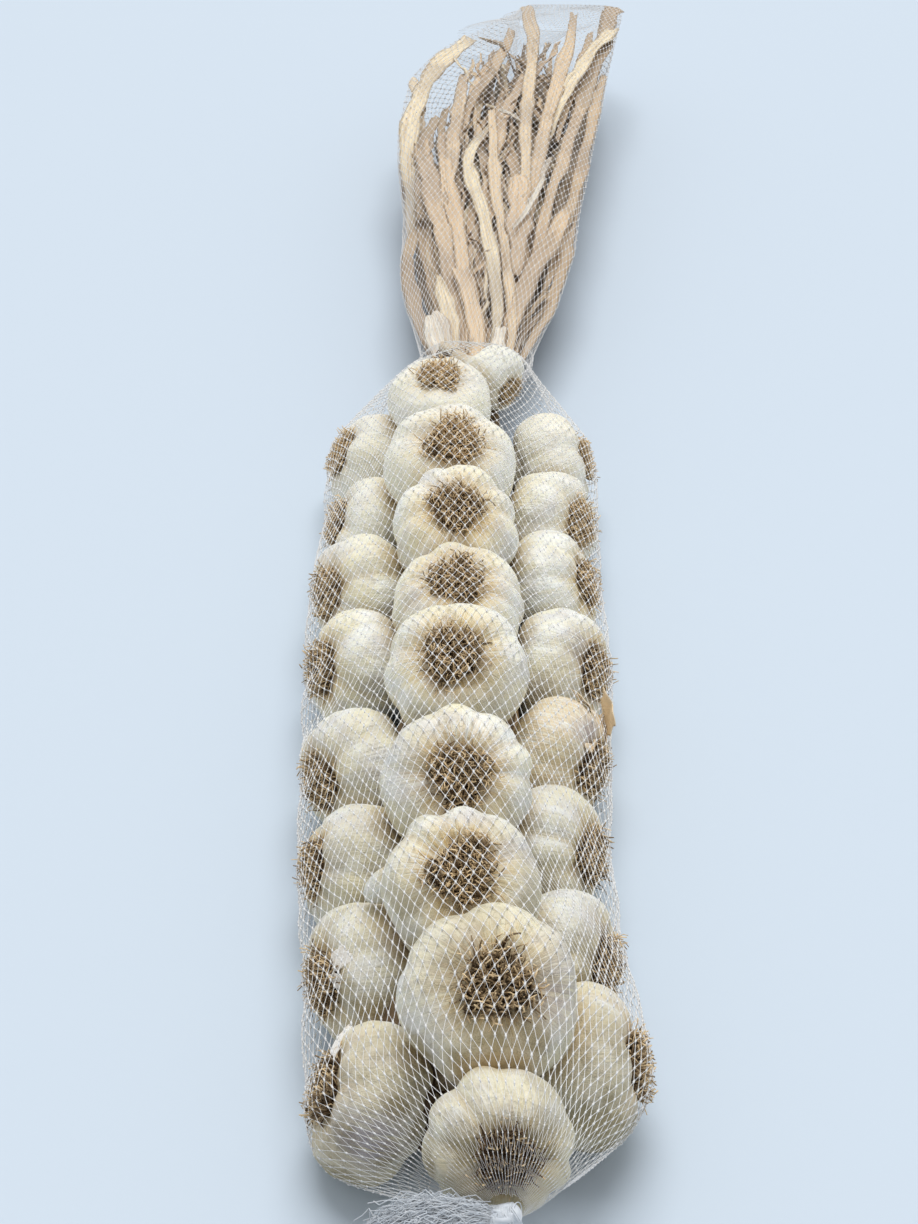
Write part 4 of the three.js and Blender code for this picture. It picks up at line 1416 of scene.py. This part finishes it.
def on_skin(rows_at, columns_at):
    """The skin's point at a fractional station and a fractional column."""
    rows_at = np.clip(rows_at, 0, len(skin) - 1.001)
    i = rows_at.astype(int)
    s = (rows_at - i)[..., None]
    c = (columns_at * FINE / COLUMNS) % FINE
    j = c.astype(int) % FINE
    u = (c - np.floor(c))[..., None]
    k = (j + 1) % FINE
    return ((1 - s) * (1 - u) * skin[i, j] + (1 - s) * u * skin[i, k]
            + s * (1 - u) * skin[i + 1, j] + s * u * skin[i + 1, k])


crossing = on_skin(place_on_skin[:, None] + row_shift, column + drift + loose)
crossing[..., 2] = np.maximum(crossing[..., 2], 0.0005)
print(row_count, "rows of", COLUMNS, "crossings")

# %% Threads and knots
THREAD = 0.00009                 # radius of a thread
KNOT_LENGTH, KNOT_THICK = 0.0012, 0.00040  # half length and radius of a knitted knot
THREAD_CELL, KNOT_CELL = 0.0024, 0.0028    # the widths of cell that these sizes are for
# A knot is two points joined by four sides: corners 0 and 5 are its points.
KNOT_FACES = np.array([(0, 2, 1), (0, 3, 2), (0, 4, 3), (0, 1, 4),
                       (5, 1, 2), (5, 2, 3), (5, 3, 4), (5, 4, 1)])
apart = np.linalg.norm(np.roll(crossing, -1, axis=1) - crossing, axis=2)


def knitted_knots(first, last):
    """A knot on every crossing of these rows, smaller where the cells are narrow."""
    spots = crossing[first:last].reshape(-1, 3)
    ahead = unit(np.gradient(crossing, axis=0)[first:last].reshape(-1, 3), 1e-9)
    side = unit(np.cross(ahead, NOWHERE), 1e-9)
    up = np.cross(ahead, side)
    size = np.clip((apart[first:last].reshape(-1, 1) / KNOT_CELL) ** 1.5, 0.12, 1.15)
    size = size * chance.uniform(0.8, 1.2, size.shape)
    long, thick = ahead * KNOT_LENGTH * size, KNOT_THICK * np.sqrt(size)
    corners = np.stack([spots - long, spots + side * thick, spots + up * thick,
                        spots - side * thick, spots - up * thick, spots + long], axis=1)
    faces = (np.arange(len(spots))[:, None, None] * 6 + KNOT_FACES).reshape(-1, 3)
    return mesh_object("knots", corners.reshape(-1, 3), faces)


def net_piece(name, first, last, replaced):
    """The rows from first to last: every thread bounces off its neighbours."""
    rows = np.arange(first, last + 1)
    number = np.arange(COLUMNS)
    right = crossing[rows].swapaxes(0, 1)
    left = np.stack([crossing[r, (number - r % 2) % COLUMNS] for r in rows], axis=1)
    fine = THREAD * np.clip(apart[rows].T / THREAD_CELL, 0.4, 1.1)
    threads = rods(name, np.concatenate([right, left]), np.concatenate([fine, fine]))
    piece = join([threads, knitted_knots(first, last)], name)
    finish_piece(piece, white_net, "net", replaced)
    print(name, len(piece.data.polygons), "faces")


# %% The net in four pieces, parted at the waist
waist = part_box("net_sleeve_heads")[1][1]
waist_row = int(np.argmin(np.abs(crossing[:, :, 1].mean(axis=1) - waist)))
net_piece("net_near", 0, waist_row // 2, "net_sleeve_heads")
net_piece("net_middle", waist_row // 2, waist_row, "net_sleeve_heads")
net_piece("net_leaves_low", waist_row, (waist_row + row_count) // 2, "net_sleeve_leaves")
net_piece("net_leaves_high", (waist_row + row_count) // 2, row_count - 1, "net_sleeve_leaves")

# %% [markdown]
# ## The knot and the loose end
#
# In front of the last head the net is drawn together and tied. The knot is a short roll
# of gathered net, smooth and almost solid; past it the cut threads fray into a soft tuft
# that lies to one side and hangs to the floor.

# %% The knot's roll
ROLL_HALVES = (0.0070, 0.0038, 0.0036)
ROLL_SQUARENESS = 0.7            # 1 leaves it an egg, less makes its ends blunter
chance = np.random.default_rng(31)
roll_middle = knot_middle + Vector((-0.0022, 0.0004, -0.0006))
roll_place = Matrix.Translation(roll_middle) @ Matrix.Rotation(math.radians(-20), 4, "Y")
bpy.ops.mesh.primitive_uv_sphere_add(segments=48, ring_count=28, radius=1)
roll = bpy.context.object
spots = points_of(roll)
spots = np.sign(spots) * np.abs(spots) ** ROLL_SQUARENESS * ROLL_HALVES
around = np.arctan2(spots[:, 2], spots[:, 1])
folds = 1 + 0.07 * np.sin(around * 5 + spots[:, 0] * 500) + 0.05 * np.sin(around * 9 - spots[:, 0] * 900)
spots[:, 1:] *= folds[:, None]
put_points(roll, spots)
roll.data.transform(roll_place)

# %% The threads wound round it
WINDINGS = 40
turns = np.linspace(0, 2 * np.pi, 25)
lines = []
for i in range(WINDINGS):
    shift = chance.uniform(-0.85, 0.85)
    tilt = chance.uniform(-0.3, 0.3)
    thin = 1.03 * (1 - abs(shift) ** 4) ** 0.25
    lines.append(np.stack([
        ROLL_HALVES[0] * (shift + tilt * np.cos(turns)),
        ROLL_HALVES[1] * thin * np.cos(turns),
        ROLL_HALVES[2] * thin * np.sin(turns)], axis=1))
windings = rods("windings", lines, 0.00020)
windings.data.transform(roll_place)
knot = join([roll, windings], "knot_roll")
finish_piece(knot, net_in_painted_shade, "net_gathered", "net_knot")
print("the knot is wound", WINDINGS, "times")

# %% The frayed tail
TAIL_THREADS = 1900
TAIL_POINTS = 14
TAIL_THREAD = 0.00021            # radius of a thread
TAIL_ROOT, TAIL_SPREAD = 0.0024, 0.0052  # its half width at the knot, and what it gains
tail_low, tail_high = (Vector(corner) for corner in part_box("net_tail"))
t = np.linspace(0, 1, TAIL_POINTS)[:, None]
root = np.array(roll_middle) + (-0.003, 0, 0)
bend = np.array([tail_low.x * 0.55 + tail_high.x * 0.45, roll_middle.y - 0.002, roll_middle.z + 0.011])
foot = np.array([tail_low.x + 0.009, (tail_low.y + tail_high.y) / 2 + 0.004, tail_low.z + 0.014])
spine = bowed(t, root, bend, foot)
lines = []
for _ in range(TAIL_THREADS):
    length = min(1.0, chance.uniform(0.62, 1.15))
    path = np.stack([np.interp(t[:, 0] * length, t[:, 0], spine[:, k]) for k in range(3)], axis=1)
    off = chance.normal(0, 1, 3)
    off *= chance.uniform(0, 1) ** 0.4 / np.linalg.norm(off)
    spread = TAIL_ROOT + TAIL_SPREAD * np.clip(t * length * 1.8, 0, 1) ** 0.8
    wander = np.cumsum(chance.normal(0, 0.0007, (TAIL_POINTS, 3)), axis=0)
    kink = chance.normal(0, 0.00085, (TAIL_POINTS, 3))
    path = path + off * spread + wander * t + kink
    path[:, 2] = np.maximum(path[:, 2], 0.0006)
    lines.append(path)
tail = rods("tail_threads", lines, TAIL_THREAD, sides=3)
finish_piece(tail, net_in_painted_shade, "net_gathered", "net_tail")
print("the tail has", TAIL_THREADS, "threads")

# %% [markdown]
# ## The floor and the light
#
# A plain pale floor, a bright surround and one very wide light that comes down from
# beyond the leaves, so that shadows are faint and the near faces of the heads are the
# darker ones.

# %% The floor
bpy.ops.mesh.primitive_plane_add(size=12, location=(0, 0, 0))
floor = bpy.context.object
floor.name = "floor"
floor_paint, floor_tree, floor_shader = new_tree("Pale floor")
feed(floor_tree, floor_shader, {"Base Color": (0.553, 0.634, 0.721, 1), "Roughness": 0.7})
floor.data.materials.append(floor_paint)

# %% The lights
WINDOW_WIDTH = 42                # degrees of the sky that the light fills
LIGHT_GOES = Vector((-0.05, -0.45, -1.0))

world = bpy.data.worlds.new("Soft surround")
world.use_nodes = True
surround = world.node_tree.nodes["Background"]
feed(world.node_tree, surround, {"Color": (0.97, 0.985, 1.0, 1), "Strength": 0.58})
bpy.context.scene.world = world

bpy.ops.object.light_add(type="SUN", location=(0.2, 0.8, 1.5))
window = bpy.context.object
window.name = "window"
window.data.energy = 2.17
window.data.angle = math.radians(WINDOW_WIDTH)
window.rotation_euler = LIGHT_GOES.to_track_quat("-Z", "Y").to_euler()
bpy.context.scene.view_settings.view_transform = "Standard"
